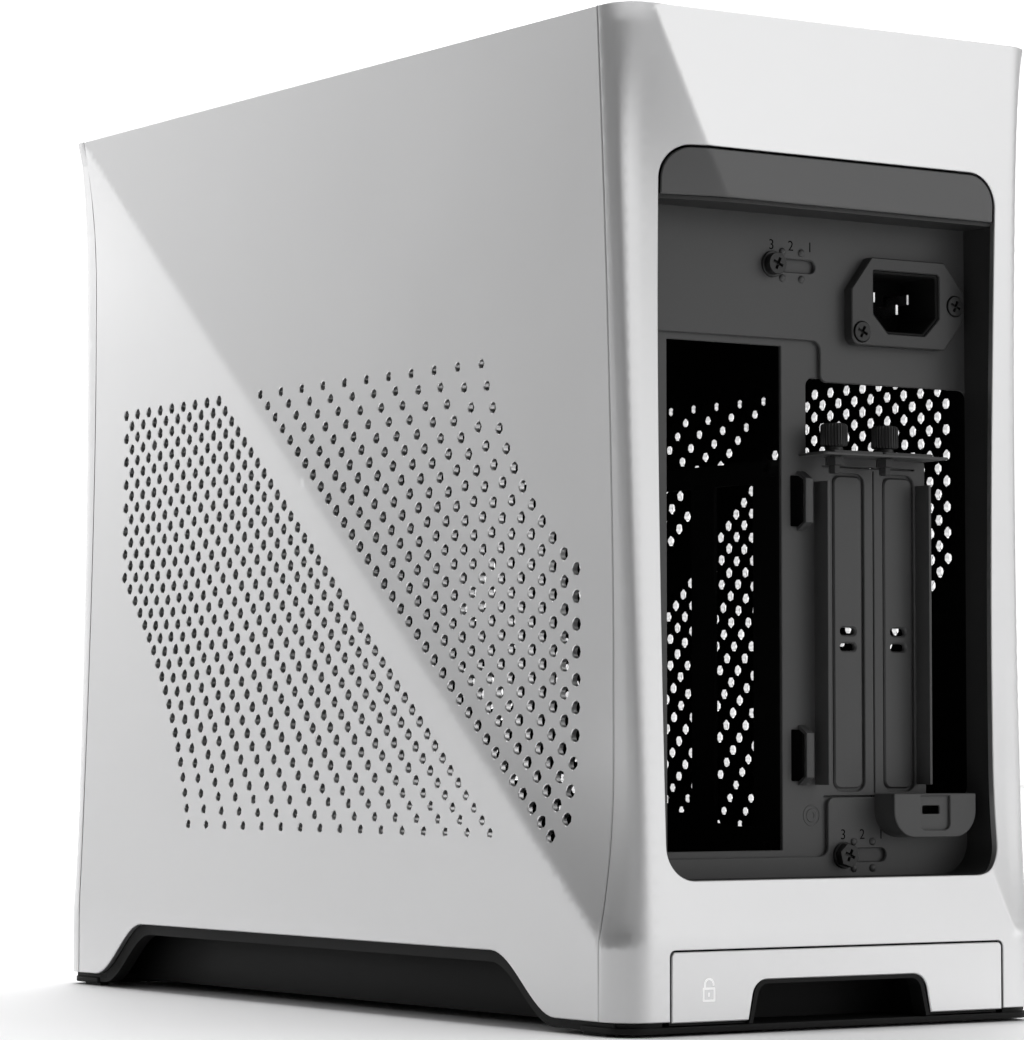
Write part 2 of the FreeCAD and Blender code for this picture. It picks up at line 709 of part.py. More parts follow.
# ---- Release tray ----

def handle_shape(half_top, half_bottom, top, low_y, high_y, radius):
    """The finger cut-out: a low trapezium with rounded upper corners, open at the floor."""
    points = [V(-half_bottom, low_y, -5), V(half_bottom, low_y, -5),
              V(half_top, low_y, top), V(-half_top, low_y, top)]
    prism = Part.Face(Part.makePolygon(points + points[:1])).extrude(V(0, high_y - low_y, 0))
    edges = []
    for edge in prism.Edges:
        ends = [vertex.Point for vertex in edge.Vertexes]
        if abs(ends[0].z - top) < 1e-6 and abs(ends[1].z - top) < 1e-6:
            if abs(ends[0].x - ends[1].x) < 1e-6:
                edges.append(edge)
    return prism.makeFillet(radius, edges)


tray_half = size("tray_half")
tray_low = size("tray_low")
tray_high = size("tray_high")
hand = handle_shape(32.4, 37.2, 16.4, 150, 190, 5)
hand_lined = handle_shape(31.1, 35.9, 15.1, 150, 190, 4)
face_plate = soft_block((-tray_half, half_length - 2.5, tray_low), (tray_half, half_length, tray_high),
                        1.5, "y").cut(hand)
node("tray_face", feature("tray_face", face_plate))
BACK_OF_FACE = half_length - 2.5
BAR_BACK = 176.4
BAR_LOW = 20.6
BAR_HIGH = 24.6
POCKET_HALF = 38.5
POCKET_WALL = 1.5
POCKET_BACK = 158
carrier = block((-tray_half + 0.5, BAR_BACK, tray_low - 1), (tray_half - 0.5, BACK_OF_FACE, 25))
lip = block((-40, BACK_OF_FACE, tray_low - 1), (40, half_length - 0.4, 25)).common(hand)
cross_bar = block((-tray_half, 171, BAR_LOW), (tray_half, BAR_BACK, BAR_HIGH))
carrier = carrier.fuse(lip).cut(hand_lined).fuse(cross_bar)
pocket_outside = block((-POCKET_HALF, POCKET_BACK, 3), (POCKET_HALF, BAR_BACK, BAR_HIGH))
pocket_inside = block((-POCKET_HALF + POCKET_WALL, POCKET_BACK + POCKET_WALL, 0),
                      (POCKET_HALF - POCKET_WALL, half_length, BAR_LOW))
carrier = carrier.fuse(pocket_outside.cut(pocket_inside))
for side in (-1, 1):
    x = sorted((side * (tray_half - 2.5), side * tray_half))
    carrier = carrier.fuse(block((x[0], -120, BAR_LOW), (x[1], 172, BAR_HIGH)))
    for along in (-100, 20, 130):
        hook = sorted((side * tray_half, side * 71))
        carrier = carrier.fuse(block((hook[0], along, BAR_LOW), (hook[1], along + 12, BAR_HIGH)))
node("tray_carrier", feature("tray_carrier", carrier.removeSplitter()))


# ---- Side panel clips ----

def panel_clips():
    """Steel hooks that stand on the inside of the right panel and end at the chassis."""
    clips = []
    for along in (-130, -45, 45, 130):
        post = block((72.6, along - 8, 292), (90, along + 8, 294))
        lip = block((72.6, along - 8, 289.5), (73.8, along + 8, 292))
        clips.append(post.fuse(lip).common(inner))
    for along in (-100, 100):
        stud = Part.makeCylinder(3.5, 20, V(76.5, along, 32), V(1, 0, 0))
        clips.append(stud.common(inner))
    return Part.makeCompound(clips)


right_clips = panel_clips()
node("right_panel_clips", feature("right_panel_clips", right_clips))
left_clips = right_clips.copy()
left_clips.rotate(V(), V(0, 0, 1), 180)
node("left_panel_clips", feature("left_panel_clips", left_clips))


# ---- Vented top ----

lid = soft_block((-79.2, -179.7, 311), (79.2, 179.7, 313.6), 9, "z")
slots = []
for column in (-2, -1, 0, 1, 2):
    for line in range(-9, 10):
        x, y = column * 24.0, line * 16.0
        slots.append(soft_block((x - 8.5, y - 2, 300), (x + 8.5, y + 2, 320), 1.9, "z"))
for across in (-1, 1):
    for along in (-1, 1):
        peg = Part.makeCylinder(3, 9.2, V(across * 64, along * 165, 301.8))
        lid = lid.fuse(peg)
node("top_panel", feature("top_panel", lid.cut(slots)))
plate("top_mesh", "z", 310, 1.0, ((-60, 60), (-158, 158)))


# ---- Fans ----

def fan_frame(label, place_name):
    base = "d.floor_low + d.sheet"
    half = "d.fan_size / 2"
    square = rounded(box((f"-{half}", half), (f"{place_name} - {half}", f"{place_name} + {half}"),
                         (base, f"{base} + d.fan_depth")), "z", 6)
    throat = rod("z", 57, (0, place_name, "d.floor_low"), 60)
    holes = []
    for across in (-1, 1):
        for along in (-1, 1):
            holes.append(rod("z", 2.15, (f"{across} * d.fan_hole / 2",
                                         f"{place_name} + {along} * d.fan_hole / 2", "d.floor_low"), 60))
    hub = rod("z", 21, (0, place_name, base), 3)
    arms = [box((-58, 58), (f"{place_name} - 2.5", f"{place_name} + 2.5"), (base, f"{base} + 3")),
            box((-2.5, 2.5), (f"{place_name} - 58", f"{place_name} + 58"), (base, f"{base} + 3"))]
    bush = rod("z", 1.55, (0, place_name, f"{base} + 0.6"), 6)
    node(label, cut(fuse(cut(square, throat, *holes), hub, *arms), bush))


def fan_rotor(label, place_name):
    """A cup with a shaft and nine pitched blades set round it."""
    base = size("floor_low") + size("sheet")
    middle = number(place_name)
    cup = Part.makeCylinder(20.5, 20, V(0, 0, base + 3.6))
    shaft = Part.makeCylinder(1.5, 3.4, V(0, 0, base + 0.8))
    rotor = cup.fuse(shaft)
    wires = []
    for radius, lean in ((19.5, 48), (38, 40), (56.2, 32)):
        chord = V(0, math.cos(math.radians(lean)), math.sin(math.radians(lean)))
        across = V(0, -chord.z, chord.y)
        half = 6.6 / max(chord.z, 0.5) + 2.5
        rim = V(radius, 0, base + 14)
        corners = []
        for first, second in ((-1, -1), (1, -1), (1, 1), (-1, 1)):
            corners.append(rim + chord * (half * first) + across * (0.7 * second))
        wires.append(Part.makePolygon(corners + corners[:1]))
    blade = Part.makeLoft(wires, True, True)
    reach = Part.makeCylinder(56.4, 19.5, V(0, 0, base + 4)).cut(
        Part.makeCylinder(20.2, 30, V(0, 0, base)))
    blade = blade.common(reach)
    for step in range(9):
        turned_blade = blade.copy()
        turned_blade.rotate(V(), V(0, 0, 1), step * 40)
        rotor = rotor.fuse(turned_blade)
    rotor.translate(V(0, middle, 0))
    node(label, feature(label, rotor))


fan_frame("fan_frame_1", "d.fan_place")
fan_frame("fan_frame_2", "-d.fan_place")
fan_rotor("fan_rotor_1", "d.fan_place")
fan_rotor("fan_rotor_2", "-d.fan_place")
fan_screws = []
for middle in ("d.fan_place", "-d.fan_place"):
    for across in (-1, 1):
        for along in (-1, 1):
            x, y = f"{across} * d.fan_hole / 2", f"{middle} + {along} * d.fan_hole / 2"
            fan_screws.append(fuse(rod("z", 3.5, (x, y, "d.floor_low - 1.2"), 1.2),
                                   rod("z", 1.9, (x, y, "d.floor_low - 0.5"), 9)))
node("fan_screws", group("Part::Compound", fan_screws))


# ---- Dust filter under the fans ----

rim = cut(box((-61.2, 61.2), (-127, 127), ("d.filter_low", "d.filter_high")),
          box((-57, 57), (-122, -2), (0, 60)), box((-57, 57), (2, 122), (0, 60)))
magnets = []
for along in (-124.5, 0, 124.5):
    for across in (-30, 30):
        magnets.append(rod("z", 2, (across, along, "d.filter_high"),
                           "d.floor_low - d.gap - d.filter_high"))
node("dust_filter_frame", fuse(rim, *magnets))
nets = [box((-57, 57), (-122, -2), (22, 22.5)), box((-57, 57), (2, 122), (22, 22.5))]
node("dust_filter_mesh", group("Part::Compound", nets))


# ---- Front port parts ----

plate("io_board", "z", 10.4, 1.6, ((-54, 38), (-178, -150)))
plate("io_bracket", "z", 9.2, 1.2, ((-54, 56), (-176.3, -146)))
for name, x in PORTS.items():
    wide, tall = PORT_SIZES[name]
    shell = soft_block((x - wide / 2, -182.4, port_z - tall / 2), (x + wide / 2, -168, port_z + tall / 2),
                       0.8, "y")
    hole = soft_block((x - wide / 2 + 0.4, -183, port_z - tall / 2 + 0.4),
                      (x + wide / 2 - 0.4, -170, port_z + tall / 2 - 0.4), 0.6, "y")
    tongue = block((x - wide / 2 + 1.6, -181.6, port_z - 0.35), (x + wide / 2 - 1.6, -169, port_z + 0.35))
    foot = block((x - wide / 2, -176, 12.0), (x + wide / 2, -168, port_z - tall / 2 + 0.3))
    port = shell.cut(hole).fuse(tongue)
    node(name, feature(name, port if foot.BoundBox.ZLength < 0.35 else port.fuse(foot)))
jack = cut(fuse(rod("y", 3.0, (jack_x, -182.4, "d.port_z"), 14),
                box((jack_x - 3.2, jack_x + 3.2), (-176, -165), (12, "d.port_z + 3"))),
           rod("y", 1.8, (jack_x, -190, "d.port_z"), 20))
node("audio_jack", jack)
cap = fuse(rod("y", 5.0, ("d.button_x", "-d.half_length", "d.port_z"), 5.2),
           rod("y", 2.4, ("d.button_x", "-d.half_length + 5.2", "d.port_z"), 3.8))
node("power_button", cap)
holder = cut(box(("d.button_x - 7", "d.button_x + 7"), (-172, -164), (10.4, 21)),
             rod("y", 2.8, ("d.button_x", -180, "d.port_z"), 9.6))
node("button_housing", holder)


# ---- Riser and wall screws ----

plate("riser_board", "x", "d.spine_x - 1.6", 1.6, ((-62, 108), (53.5, 66)))
node("riser_slot", cut(box(("d.spine_x - 12.6", "d.spine_x - 1.6"), (10, 100), (54.5, 62.5)),
                       box(("d.spine_x - 14", "d.spine_x - 6"), (12, 98), (57.7, 59.3))))
wall_screws = []
for side in (-1, 1):
    for z in (36, 285):
        for low_y, turn in (("d.wall_rear", 1), ("d.wall_front - d.sheet - 1.8", -1)):
            wall_screws.append(rod("y", 3.0, (side * 66.5, low_y, z), 1.8))
node("wall_screws", group("Part::Compound", wall_screws))


# ---- Check everything, then write one file for each sub-part ----

doc.recompute()
for item in doc.Objects:
    if "Invalid" in item.State or "Error" in item.State:
        raise RuntimeError(f"{item.Label} failed: {item.State}")
for item in nodes:
    if item.Shape.isNull() or not item.Shape.isValid() or item.Shape.Volume <= 0:
        raise RuntimeError(f"{item.Label} has no good shape")
for item in nodes:
    item.Shape.exportStep(f"parts/{item.Label}.step")
print(f"{len(nodes)} sub-parts written")
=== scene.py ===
import json
import math

import bmesh
import bpy
import numpy as np
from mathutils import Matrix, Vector, kdtree
from mathutils.geometry import delaunay_2d_cdt

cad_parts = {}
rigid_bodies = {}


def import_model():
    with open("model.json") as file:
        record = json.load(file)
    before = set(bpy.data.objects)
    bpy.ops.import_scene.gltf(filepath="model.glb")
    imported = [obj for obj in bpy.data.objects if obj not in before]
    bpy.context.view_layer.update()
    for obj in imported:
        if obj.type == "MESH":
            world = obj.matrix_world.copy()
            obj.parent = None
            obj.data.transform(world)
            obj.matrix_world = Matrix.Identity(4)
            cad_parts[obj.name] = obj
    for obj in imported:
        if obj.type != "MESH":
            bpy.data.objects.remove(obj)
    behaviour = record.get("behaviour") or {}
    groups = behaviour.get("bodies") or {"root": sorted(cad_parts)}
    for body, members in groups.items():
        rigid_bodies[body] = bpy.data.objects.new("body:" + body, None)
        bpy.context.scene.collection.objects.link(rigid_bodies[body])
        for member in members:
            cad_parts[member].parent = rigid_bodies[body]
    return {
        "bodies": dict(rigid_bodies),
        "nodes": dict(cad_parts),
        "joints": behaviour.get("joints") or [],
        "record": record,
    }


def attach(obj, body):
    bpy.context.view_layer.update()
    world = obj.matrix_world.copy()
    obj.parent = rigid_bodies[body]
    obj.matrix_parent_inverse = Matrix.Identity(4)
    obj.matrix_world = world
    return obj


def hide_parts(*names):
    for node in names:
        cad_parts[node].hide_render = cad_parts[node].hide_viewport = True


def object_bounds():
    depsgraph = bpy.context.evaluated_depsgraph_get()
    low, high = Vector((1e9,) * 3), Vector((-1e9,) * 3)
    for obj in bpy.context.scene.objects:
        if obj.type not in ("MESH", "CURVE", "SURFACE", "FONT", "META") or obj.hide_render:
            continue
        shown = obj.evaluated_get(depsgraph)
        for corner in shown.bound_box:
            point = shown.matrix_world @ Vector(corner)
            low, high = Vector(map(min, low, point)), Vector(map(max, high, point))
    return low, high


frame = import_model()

cad_bounds = [list(corner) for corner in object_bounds()]

# Sizes are in millimetres here, and every mesh is written in metres through MM.
MM = 0.001
HALF_WIDTH = 82.5
HALF_LENGTH = 183.0
HEIGHT = cad_bounds[1][2] / MM
SKIN = 2.0
CORNER = 12.0
SKIN_BOTTOM = 4.5
BAND_TOP = 28.0
SEAM = 170.0
FOLD_DEPTH = 5.8
FOLD_SOFT = 0.006
WALL = 165.0
SHEET = 1.2
GAP = 0.3
SHARP = 32.0
NORMAL_STEP = 0.05
RIM_CLEAR = 1.2
HOLE_CLEAR = 0.4
HOLE_SIDES = 18

bodies = frame["behaviour"] if "behaviour" in frame else frame["record"]["behaviour"]
BODY_OF = {node: body for body, members in bodies["bodies"].items() for node in members}
SLOT_OF = {row["node"]: row["material_slot"] for row in frame["record"]["subparts"]}


# ---- Mesh helpers ----

def placed(name, data):
    """A new object in the scene, made of a mesh, a light or a camera."""
    thing = bpy.data.objects.new(name, data)
    bpy.context.scene.collection.objects.link(thing)
    return thing


def smooth(mesh, sharp):
    """Smooth shading, except over edges that turn by more than sharp degrees."""
    mesh.polygons.foreach_set("use_smooth", [True] * len(mesh.polygons))
    mesh.set_sharp_from_angle(angle=math.radians(sharp))


def finish_mesh(name, verts, faces, sharp=SHARP, normals=None, creases=()):
    """A smooth-shaded mesh object with its sharp edges marked; points come in millimetres."""
    mesh = bpy.data.meshes.new(name)
    mesh.from_pydata([tuple(point) for point in np.asarray(verts) * MM], [], faces)
    mesh.update()
    smooth(mesh, sharp)
    if creases:
        creases = {(min(pair), max(pair)) for pair in creases}
        for edge in mesh.edges:
            if edge.key in creases:
                edge.use_edge_sharp = True
    if normals is not None:
        smooth_faces, vertex_normals = normals
        corners = np.zeros(len(mesh.loops), np.int32)
        mesh.loops.foreach_get("vertex_index", corners)
        custom = np.zeros((len(corners), 3), np.float32)
        mesh.corner_normals.foreach_get("vector", custom.ravel())
        first = sum(len(face) for face in faces[:smooth_faces])
        custom[:first] = vertex_normals[corners[:first]]
        mesh.normals_split_custom_set([tuple(row) for row in custom])
    return placed(name, mesh)


def unit(rows):
    return rows / np.linalg.norm(rows, axis=1, keepdims=True)


def circle(x, y, radius, count=20, start=0.0):
    turns = start + np.arange(count) * 2 * math.pi / count
    return np.stack([x + radius * np.cos(turns), y + radius * np.sin(turns)], 1)


def rounded_outline(corners, radii, steps=6):
    """An anticlockwise outline through the corners, each rounded by its own radius."""
    corners = [np.array(corner, float) for corner in corners]
    if not hasattr(radii, "__len__"):
        radii = [radii] * len(corners)
    outline = []
    for index, corner in enumerate(corners):
        radius = radii[index]
        before = corners[index - 1] - corner
        after = corners[(index + 1) % len(corners)] - corner
        before /= np.linalg.norm(before)
        after /= np.linalg.norm(after)
        half = 0.5 * math.acos(np.clip(before @ after, -1, 1))
        if radius <= 0 or half > 1.56:
            outline.append(corner)
            continue
        back = radius / math.tan(half)
        middle = corner + (before + after) / np.linalg.norm(before + after) * radius / math.sin(half)
        start = corner + before * back - middle
        end = corner + after * back - middle
        sweep = math.atan2(start[0] * end[1] - start[1] * end[0], start @ end)
        for step in range(steps + 1):
            turn = sweep * step / steps
            cosine, sine = math.cos(turn), math.sin(turn)
            outline.append(middle + np.array([start[0] * cosine - start[1] * sine,
                                              start[0] * sine + start[1] * cosine]))
    return np.array(outline)


def rectangle(x0, x1, y0, y1, radius=0.0, steps=6):
    return rounded_outline([(x0, y0), (x1, y0), (x1, y1), (x0, y1)], radius, steps)


def subdivided(loop, spacing):
    """The loop with its long runs divided, so that a curved surface keeps its shape."""
    out = []
    for start, end in zip(loop, np.roll(loop, -1, 0)):
        count = max(1, int(math.ceil(np.linalg.norm(end - start) / spacing)))
        for step in range(count):
            out.append(start + (end - start) * step / count)
    return np.array(out)


def set_left(loop, distance):
    """The loop moved to its left, into the material of an anticlockwise outer outline."""
    before = loop - np.roll(loop, 1, 0)
    after = np.roll(loop, -1, 0) - loop
    before /= np.maximum(np.linalg.norm(before, axis=1, keepdims=True), 1e-9)
    after /= np.maximum(np.linalg.norm(after, axis=1, keepdims=True), 1e-9)
    left = np.stack([-(before + after)[:, 1], (before + after)[:, 0]], 1)
    length = np.linalg.norm(left, axis=1, keepdims=True)
    left /= np.maximum(length, 1e-9)
    stretch = 1 / np.maximum(length[:, 0] / 2, 0.5)
    return loop + left * (distance * stretch)[:, None]


def inside_loop(points, loop):
    """Which points lie inside a closed loop, by counting crossings."""
    inside = np.zeros(len(points), bool)
    for start, end in zip(loop, np.roll(loop, -1, 0)):
        crosses = (start[1] > points[:, 1]) != (end[1] > points[:, 1])
        if not crosses.any():
            continue
        rise = end[1] - start[1]
        where = start[0] + (points[:, 1] - start[1]) * (end[0] - start[0]) / (rise or 1e-12)
        inside ^= crosses & (points[:, 0] < where)
    return inside


def ring_edges(loops):
    """The edges of several closed loops whose points are numbered one after another."""
    edges = []
    first = 0
    for loop in loops:
        count = len(loop)
        edges += [(first + index, first + (index + 1) % count) for index in range(count)]
        first += count
    return edges


def finder(places):
    """A nearest-place search over points of a flat pattern."""
    tree = kdtree.KDTree(max(1, len(places)))
    for index, place in enumerate(places):
        tree.insert((place[0], place[1], 0), index)
    tree.balance()
    return tree


def grid_points(loops, shaped, spacing, fine, circles):
    """Points for a curved sheet to follow, clear of its rims. The first loops are not circles."""
    rims = np.concatenate(loops)
    low, high = rims.min(0), rims.max(0)
    across = np.arange(low[0] + spacing / 2, high[0], spacing)
    up = np.arange(low[1] + spacing / 2, high[1], spacing)
    extra = np.stack(np.meshgrid(across, up), -1).reshape(-1, 2)
    if fine is not None:
        extra = np.concatenate([extra, fine])
    keep = inside_loop(extra, loops[0])
    for loop in loops[1:shaped]:
        keep &= ~inside_loop(extra, loop)
    near_rim, near_circle = finder(rims), finder(circles)
    kept = []
    for point in extra[keep]:
        place = (point[0], point[1], 0)
        if near_rim.find(place)[2] < min(0.35 * spacing, RIM_CLEAR):
            continue
        if len(circles):
            _, index, distance = near_circle.find(place)
            if distance < circles[index][2] + HOLE_CLEAR:
                continue
        kept.append(point)
    return np.array(kept).reshape(-1, 2)


def cut_triangles(flat, edges, moved, shaped, circles):
    """Triangles between the flat points, without those inside a cut-out."""
    result = delaunay_2d_cdt([Vector(point) for point in flat], edges, [], 0, 1e-5)
    source = [originals[0] for originals in result[3]]
    triangles = np.array([[source[corner] for corner in face] for face in result[2]])
    middle = flat[triangles].mean(1)
    keep = inside_loop(middle, moved[0])
    for loop in moved[1:shaped]:
        keep &= ~inside_loop(middle, loop)
    if len(circles):
        centres = finder(circles)
        for index in np.nonzero(keep)[0]:
            _, which, distance = centres.find((middle[index][0], middle[index][1], 0))
            if distance < circles[which][2]:
                keep[index] = False
    return triangles[keep]


def surface_normals(bare, points):
    """Unit normals of a surface that is given by a function of flat points."""
    along = bare(points + [NORMAL_STEP, 0]) - bare(points - [NORMAL_STEP, 0])
    up = bare(points + [0, NORMAL_STEP]) - bare(points - [0, NORMAL_STEP])
    return unit(np.cross(along, up))


def sheet_piece(name, outline, holes, surface, thick, chamfer=0.25, spacing=None, circles=(),
                flip=False, fine=None):
    """A sheet with chamfered cut-outs, triangulated in its own flat plane and laid on a surface.

    surface(points, depth) gives places in space; circles are rows of x, y and radius.
    """
    loops = [np.array(outline)] + [np.array(hole)[::-1] for hole in holes]
    if spacing:
        loops = [subdivided(loop, spacing) for loop in loops]
    shaped = len(loops)
    loops += [circle(x, y, radius, HOLE_SIDES)[::-1] for x, y, radius in circles]
    moved = [set_left(loop, chamfer) for loop in loops]
    edges = ring_edges(loops)
    rims = np.concatenate(loops)
    extra = np.zeros((0, 2))
    if spacing:
        extra = grid_points(loops, shaped, spacing, fine, circles)
    flat = np.concatenate(moved + [extra])
    triangles = cut_triangles(flat, edges, moved, shaped, circles)
    count = len(flat)
    back = np.concatenate([rims, extra])
    verts = np.concatenate([surface(flat, 0.0), surface(back, thick), surface(rims, chamfer)])
    faces = [tuple(face) for face in triangles]
    top_faces = len(faces)
    faces += [tuple(count + corner for corner in face[::-1]) for face in triangles]
    rim_edges = [(2 * count + a, 2 * count + b) for a, b in edges]
    for (a, b), (rim_a, rim_b) in zip(edges, rim_edges):
        faces.append((b, a, rim_a, rim_b))
        faces.append((rim_b, rim_a, count + a, count + b))
    normals = surface_normals(lambda points: surface(points, 0.0), flat)
    if flip:
        faces = [face[::-1] for face in faces]
        normals = -normals
    return finish_mesh(name, verts, faces, normals=(top_faces, normals),
                       creases=edges + rim_edges)


def flat_surface(axis, at):
    """Lays a flat pattern on a plane that looks along an axis; depth goes back from there."""
    first, second, normal = {"x": (1, 2, 0), "y": (0, 2, 1), "z": (0, 1, 2)}[axis]

    def place(points, depth):
        out = np.zeros((len(points), 3))
        out[:, first] = points[:, 0]
        out[:, second] = points[:, 1]
        out[:, normal] = at - depth
        return out
    return place


def flat_sheet(name, at, outline, holes, thick, chamfer=0.2):
    """A flat upright sheet whose outer face looks to the rear from a place along Y."""
    return sheet_piece(name, outline, holes, flat_surface("y", at), thick, chamfer, flip=True)


def lathe(name, profile, base, axis="z", segments=40, ribs=None, sharp=SHARP):
    """A turned solid: profile rows are radius and height. ribs(radius row, turn) may knurl it."""
    verts, faces, rings = [], [], []
    for row, (radius, rise) in enumerate(profile):
        if radius < 1e-6:
            rings.append([len(verts)])
            verts.append((0, 0, rise))
            continue
        ring = []
        for step in range(segments):
            turn = 2 * math.pi * step / segments
            reach = radius - (ribs(row, step) if ribs else 0)
            ring.append(len(verts))
            verts.append((reach * math.cos(turn), reach * math.sin(turn), rise))
        rings.append(ring)
    for low, high in zip(rings, rings[1:]):
        for step in range(segments):
            after = (step + 1) % segments
            if len(low) == 1:
                faces.append((low[0], high[after], high[step]))
            elif len(high) == 1:
                faces.append((low[step], low[after], high[0]))
            else:
                faces.append((low[step], low[after], high[after], high[step]))
    verts = np.array(verts, float)
    if axis == "y":
        verts = verts[:, [1, 2, 0]]
    return finish_mesh(name, verts + np.array(base, float), faces, sharp)


def block(name, low, high, bevel=0.3, segments=2):
    """A bevelled block between two corners."""
    made = bmesh.new()
    bmesh.ops.create_cube(made, size=1.0)
    low, high = np.array(low, float), np.array(high, float)
    for vert in made.verts:
        vert.co = Vector((low + (np.array(vert.co) + 0.5) * (high - low)) * MM)
    if bevel > 0:
        bmesh.ops.bevel(made, geom=made.edges[:], offset=bevel * MM, segments=segments,
                        profile=0.6, affect="EDGES")
    return bmesh_piece(name, made)


def bmesh_piece(name, made):
    mesh = bpy.data.meshes.new(name)
    made.to_mesh(mesh)
    made.free()
    smooth(mesh, SHARP)
    return placed(name, mesh)


def prism(name, outline, axis, low, high, bevel=0.3):
    """A bevelled prism of an outline, between two places along an axis."""
    made = bmesh.new()
    order = {"x": (2, 0, 1), "y": (0, 2, 1), "z": (0, 1, 2)}[axis]
    corners = []
    for point in outline:
        place = (point[0] * MM, point[1] * MM, low * MM)
        corners.append(made.verts.new([place[index] for index in order]))
    face = made.faces.new(corners)
    grown = bmesh.ops.extrude_face_region(made, geom=[face])
    shift = [0, 0, 0]
    shift["xyz".index(axis)] = (high - low) * MM
    for item in grown["geom"]:
        if isinstance(item, bmesh.types.BMVert):
            item.co += Vector(shift)
    bmesh.ops.recalc_face_normals(made, faces=made.faces[:])
    if bevel > 0:
        edges = [edge for edge in made.edges if edge.calc_face_angle(0) > math.radians(30)]
        bmesh.ops.bevel(made, geom=edges, offset=bevel * MM, segments=2, profile=0.6,
                        affect="EDGES", clamp_overlap=True)
    return bmesh_piece(name, made)


def join(name, parts):
    """One piece made of several, each keeping its own materials and shading."""
    with bpy.context.temp_override(active_object=parts[0], object=parts[0],
                                   selected_objects=parts, selected_editable_objects=parts):
        bpy.ops.object.join()
    parts[0].name = name
    parts[0].data.name = name
    return parts[0]


def coloured(piece, material):
    piece.data.materials.clear()
    piece.data.materials.append(material)
    return piece


def turned_copy(piece, name):
    """The same piece turned half round the vertical axis."""
    other = piece.copy()
    other.data = piece.data.copy()
    other.name = name
    other.data.name = name
    bpy.context.scene.collection.objects.link(other)
    other.rotation_euler = (0, 0, math.pi)
    bpy.context.view_layer.update()
    matrix = other.matrix_world.copy()
    other.rotation_euler = (0, 0, 0)
    other.data.transform(matrix)
    return other


def stand(piece, node, material=None):
    """The piece takes the place of a CAD node, on its body, and takes the given material if there is
    one.
    """
    if material is not None:
        coloured(piece, material)
    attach(piece, BODY_OF[node])
    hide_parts(node)


# ---- Materials ----

def socket(shader, name, value):
    shader.inputs[name].default_value = value


def new_material(name, colour, metallic, rough, grain=0.3, grain_size=0.35, relief=0.02,
                 tone=0.04, rough_swing=0.05, patch_size=60.0, specular=0.5):
    """A procedural finish: fine grain relief, slow tone drift and slightly uneven gloss."""
    material = bpy.data.materials.new(name)
    material.use_nodes = True
    tree = material.node_tree
    nodes, links = tree.nodes, tree.links
    shader = nodes["Principled BSDF"]
    socket(shader, "Metallic", metallic)
    socket(shader, "Specular IOR Level", specular)
    place = nodes.new("ShaderNodeTexCoord")
    fine = nodes.new("ShaderNodeTexNoise")
    fine.inputs["Scale"].default_value = 1.0 / (grain_size * MM)
    fine.inputs["Detail"].default_value = 2.0
    links.new(place.outputs["Object"], fine.inputs["Vector"])
    broad = nodes.new("ShaderNodeTexNoise")
    broad.inputs["Scale"].default_value = 1.0 / (patch_size * MM)
    broad.inputs["Detail"].default_value = 3.0
    links.new(place.outputs["Object"], broad.inputs["Vector"])
    blend = nodes.new("ShaderNodeMix")
    blend.data_type = "FLOAT"
    blend.inputs["Factor"].default_value = grain
    links.new(broad.outputs["Fac"], blend.inputs["A"])
    links.new(fine.outputs["Fac"], blend.inputs["B"])
    ramp = nodes.new("ShaderNodeValToRGB")
    ramp.color_ramp.elements[0].position = 0.3
    ramp.color_ramp.elements[1].position = 0.7
    low = [channel * (1 - tone) for channel in colour]
    high = [min(1.0, channel * (1 + tone)) for channel in colour]
    ramp.color_ramp.elements[0].color = (*low, 1)
    ramp.color_ramp.elements[1].color = (*high, 1)
    links.new(blend.outputs["Result"], ramp.inputs["Fac"])
    links.new(ramp.outputs["Color"], shader.inputs["Base Color"])
    gloss = nodes.new("ShaderNodeMapRange")
    gloss.inputs["To Min"].default_value = rough - rough_swing
    gloss.inputs["To Max"].default_value = rough + rough_swing
    links.new(blend.outputs["Result"], gloss.inputs["Value"])
    links.new(gloss.outputs["Result"], shader.inputs["Roughness"])
    bump = nodes.new("ShaderNodeBump")
    bump.inputs["Strength"].default_value = 1.0
    bump.inputs["Distance"].default_value = relief * MM
    links.new(fine.outputs["Fac"], bump.inputs["Height"])
    links.new(bump.outputs["Normal"], shader.inputs["Normal"])
    return material


def grey(value):
    return (value, value, value * 1.005)


# Each finish: colour, metallic, roughness, share of grain, grain size and relief in millimetres,
# tone, swing of the roughness and patch size in millimetres.
SILVER = new_material("silver_aluminium", grey(0.74), 1.0, 0.36, 0.35, 0.18, 0.006, 0.02, 0.04, 90.0)
DARK_BAND = new_material("dark_band", grey(0.12), 0.9, 0.44, 0.3, 0.2, 0.006, 0.04, 0.04)
BLACK_STEEL = new_material("black_steel", grey(0.056), 0.0, 0.47, 0.4, 0.35, 0.012, 0.10, 0.06)
BLACK_PLASTIC = new_material("black_plastic", grey(0.022), 0.0, 0.5, 0.5, 0.5, 0.02, 0.12, 0.08)
DARK_PLINTH = new_material("plinth_plastic", grey(0.006), 0.0, 0.6, 0.5, 0.5, 0.02, 0.12, 0.08,
                           specular=0.2)
# Near-black with little gloss, for the parts inside the case, the inner faces of the side panels and
# the floor of the inlet socket: painted shade of the dark interior.
INSIDE_PAINTED_SHADE = new_material("inside_painted_shade", grey(0.003), 0.0, 0.7, 0.5, 0.5, 0.02, 0.12, 0.08,
                      specular=0.12)
INLET = new_material("inlet_plastic", grey(0.028), 0.0, 0.42, 0.4, 0.4, 0.012, 0.08, 0.05)
RUBBER = new_material("rubber", grey(0.018), 0.0, 0.75, 0.6, 0.3, 0.03, 0.15, 0.08)
BRIGHT = new_material("bright_steel", grey(0.72), 1.0, 0.28, 0.3, 0.15, 0.003, 0.05, 0.06)
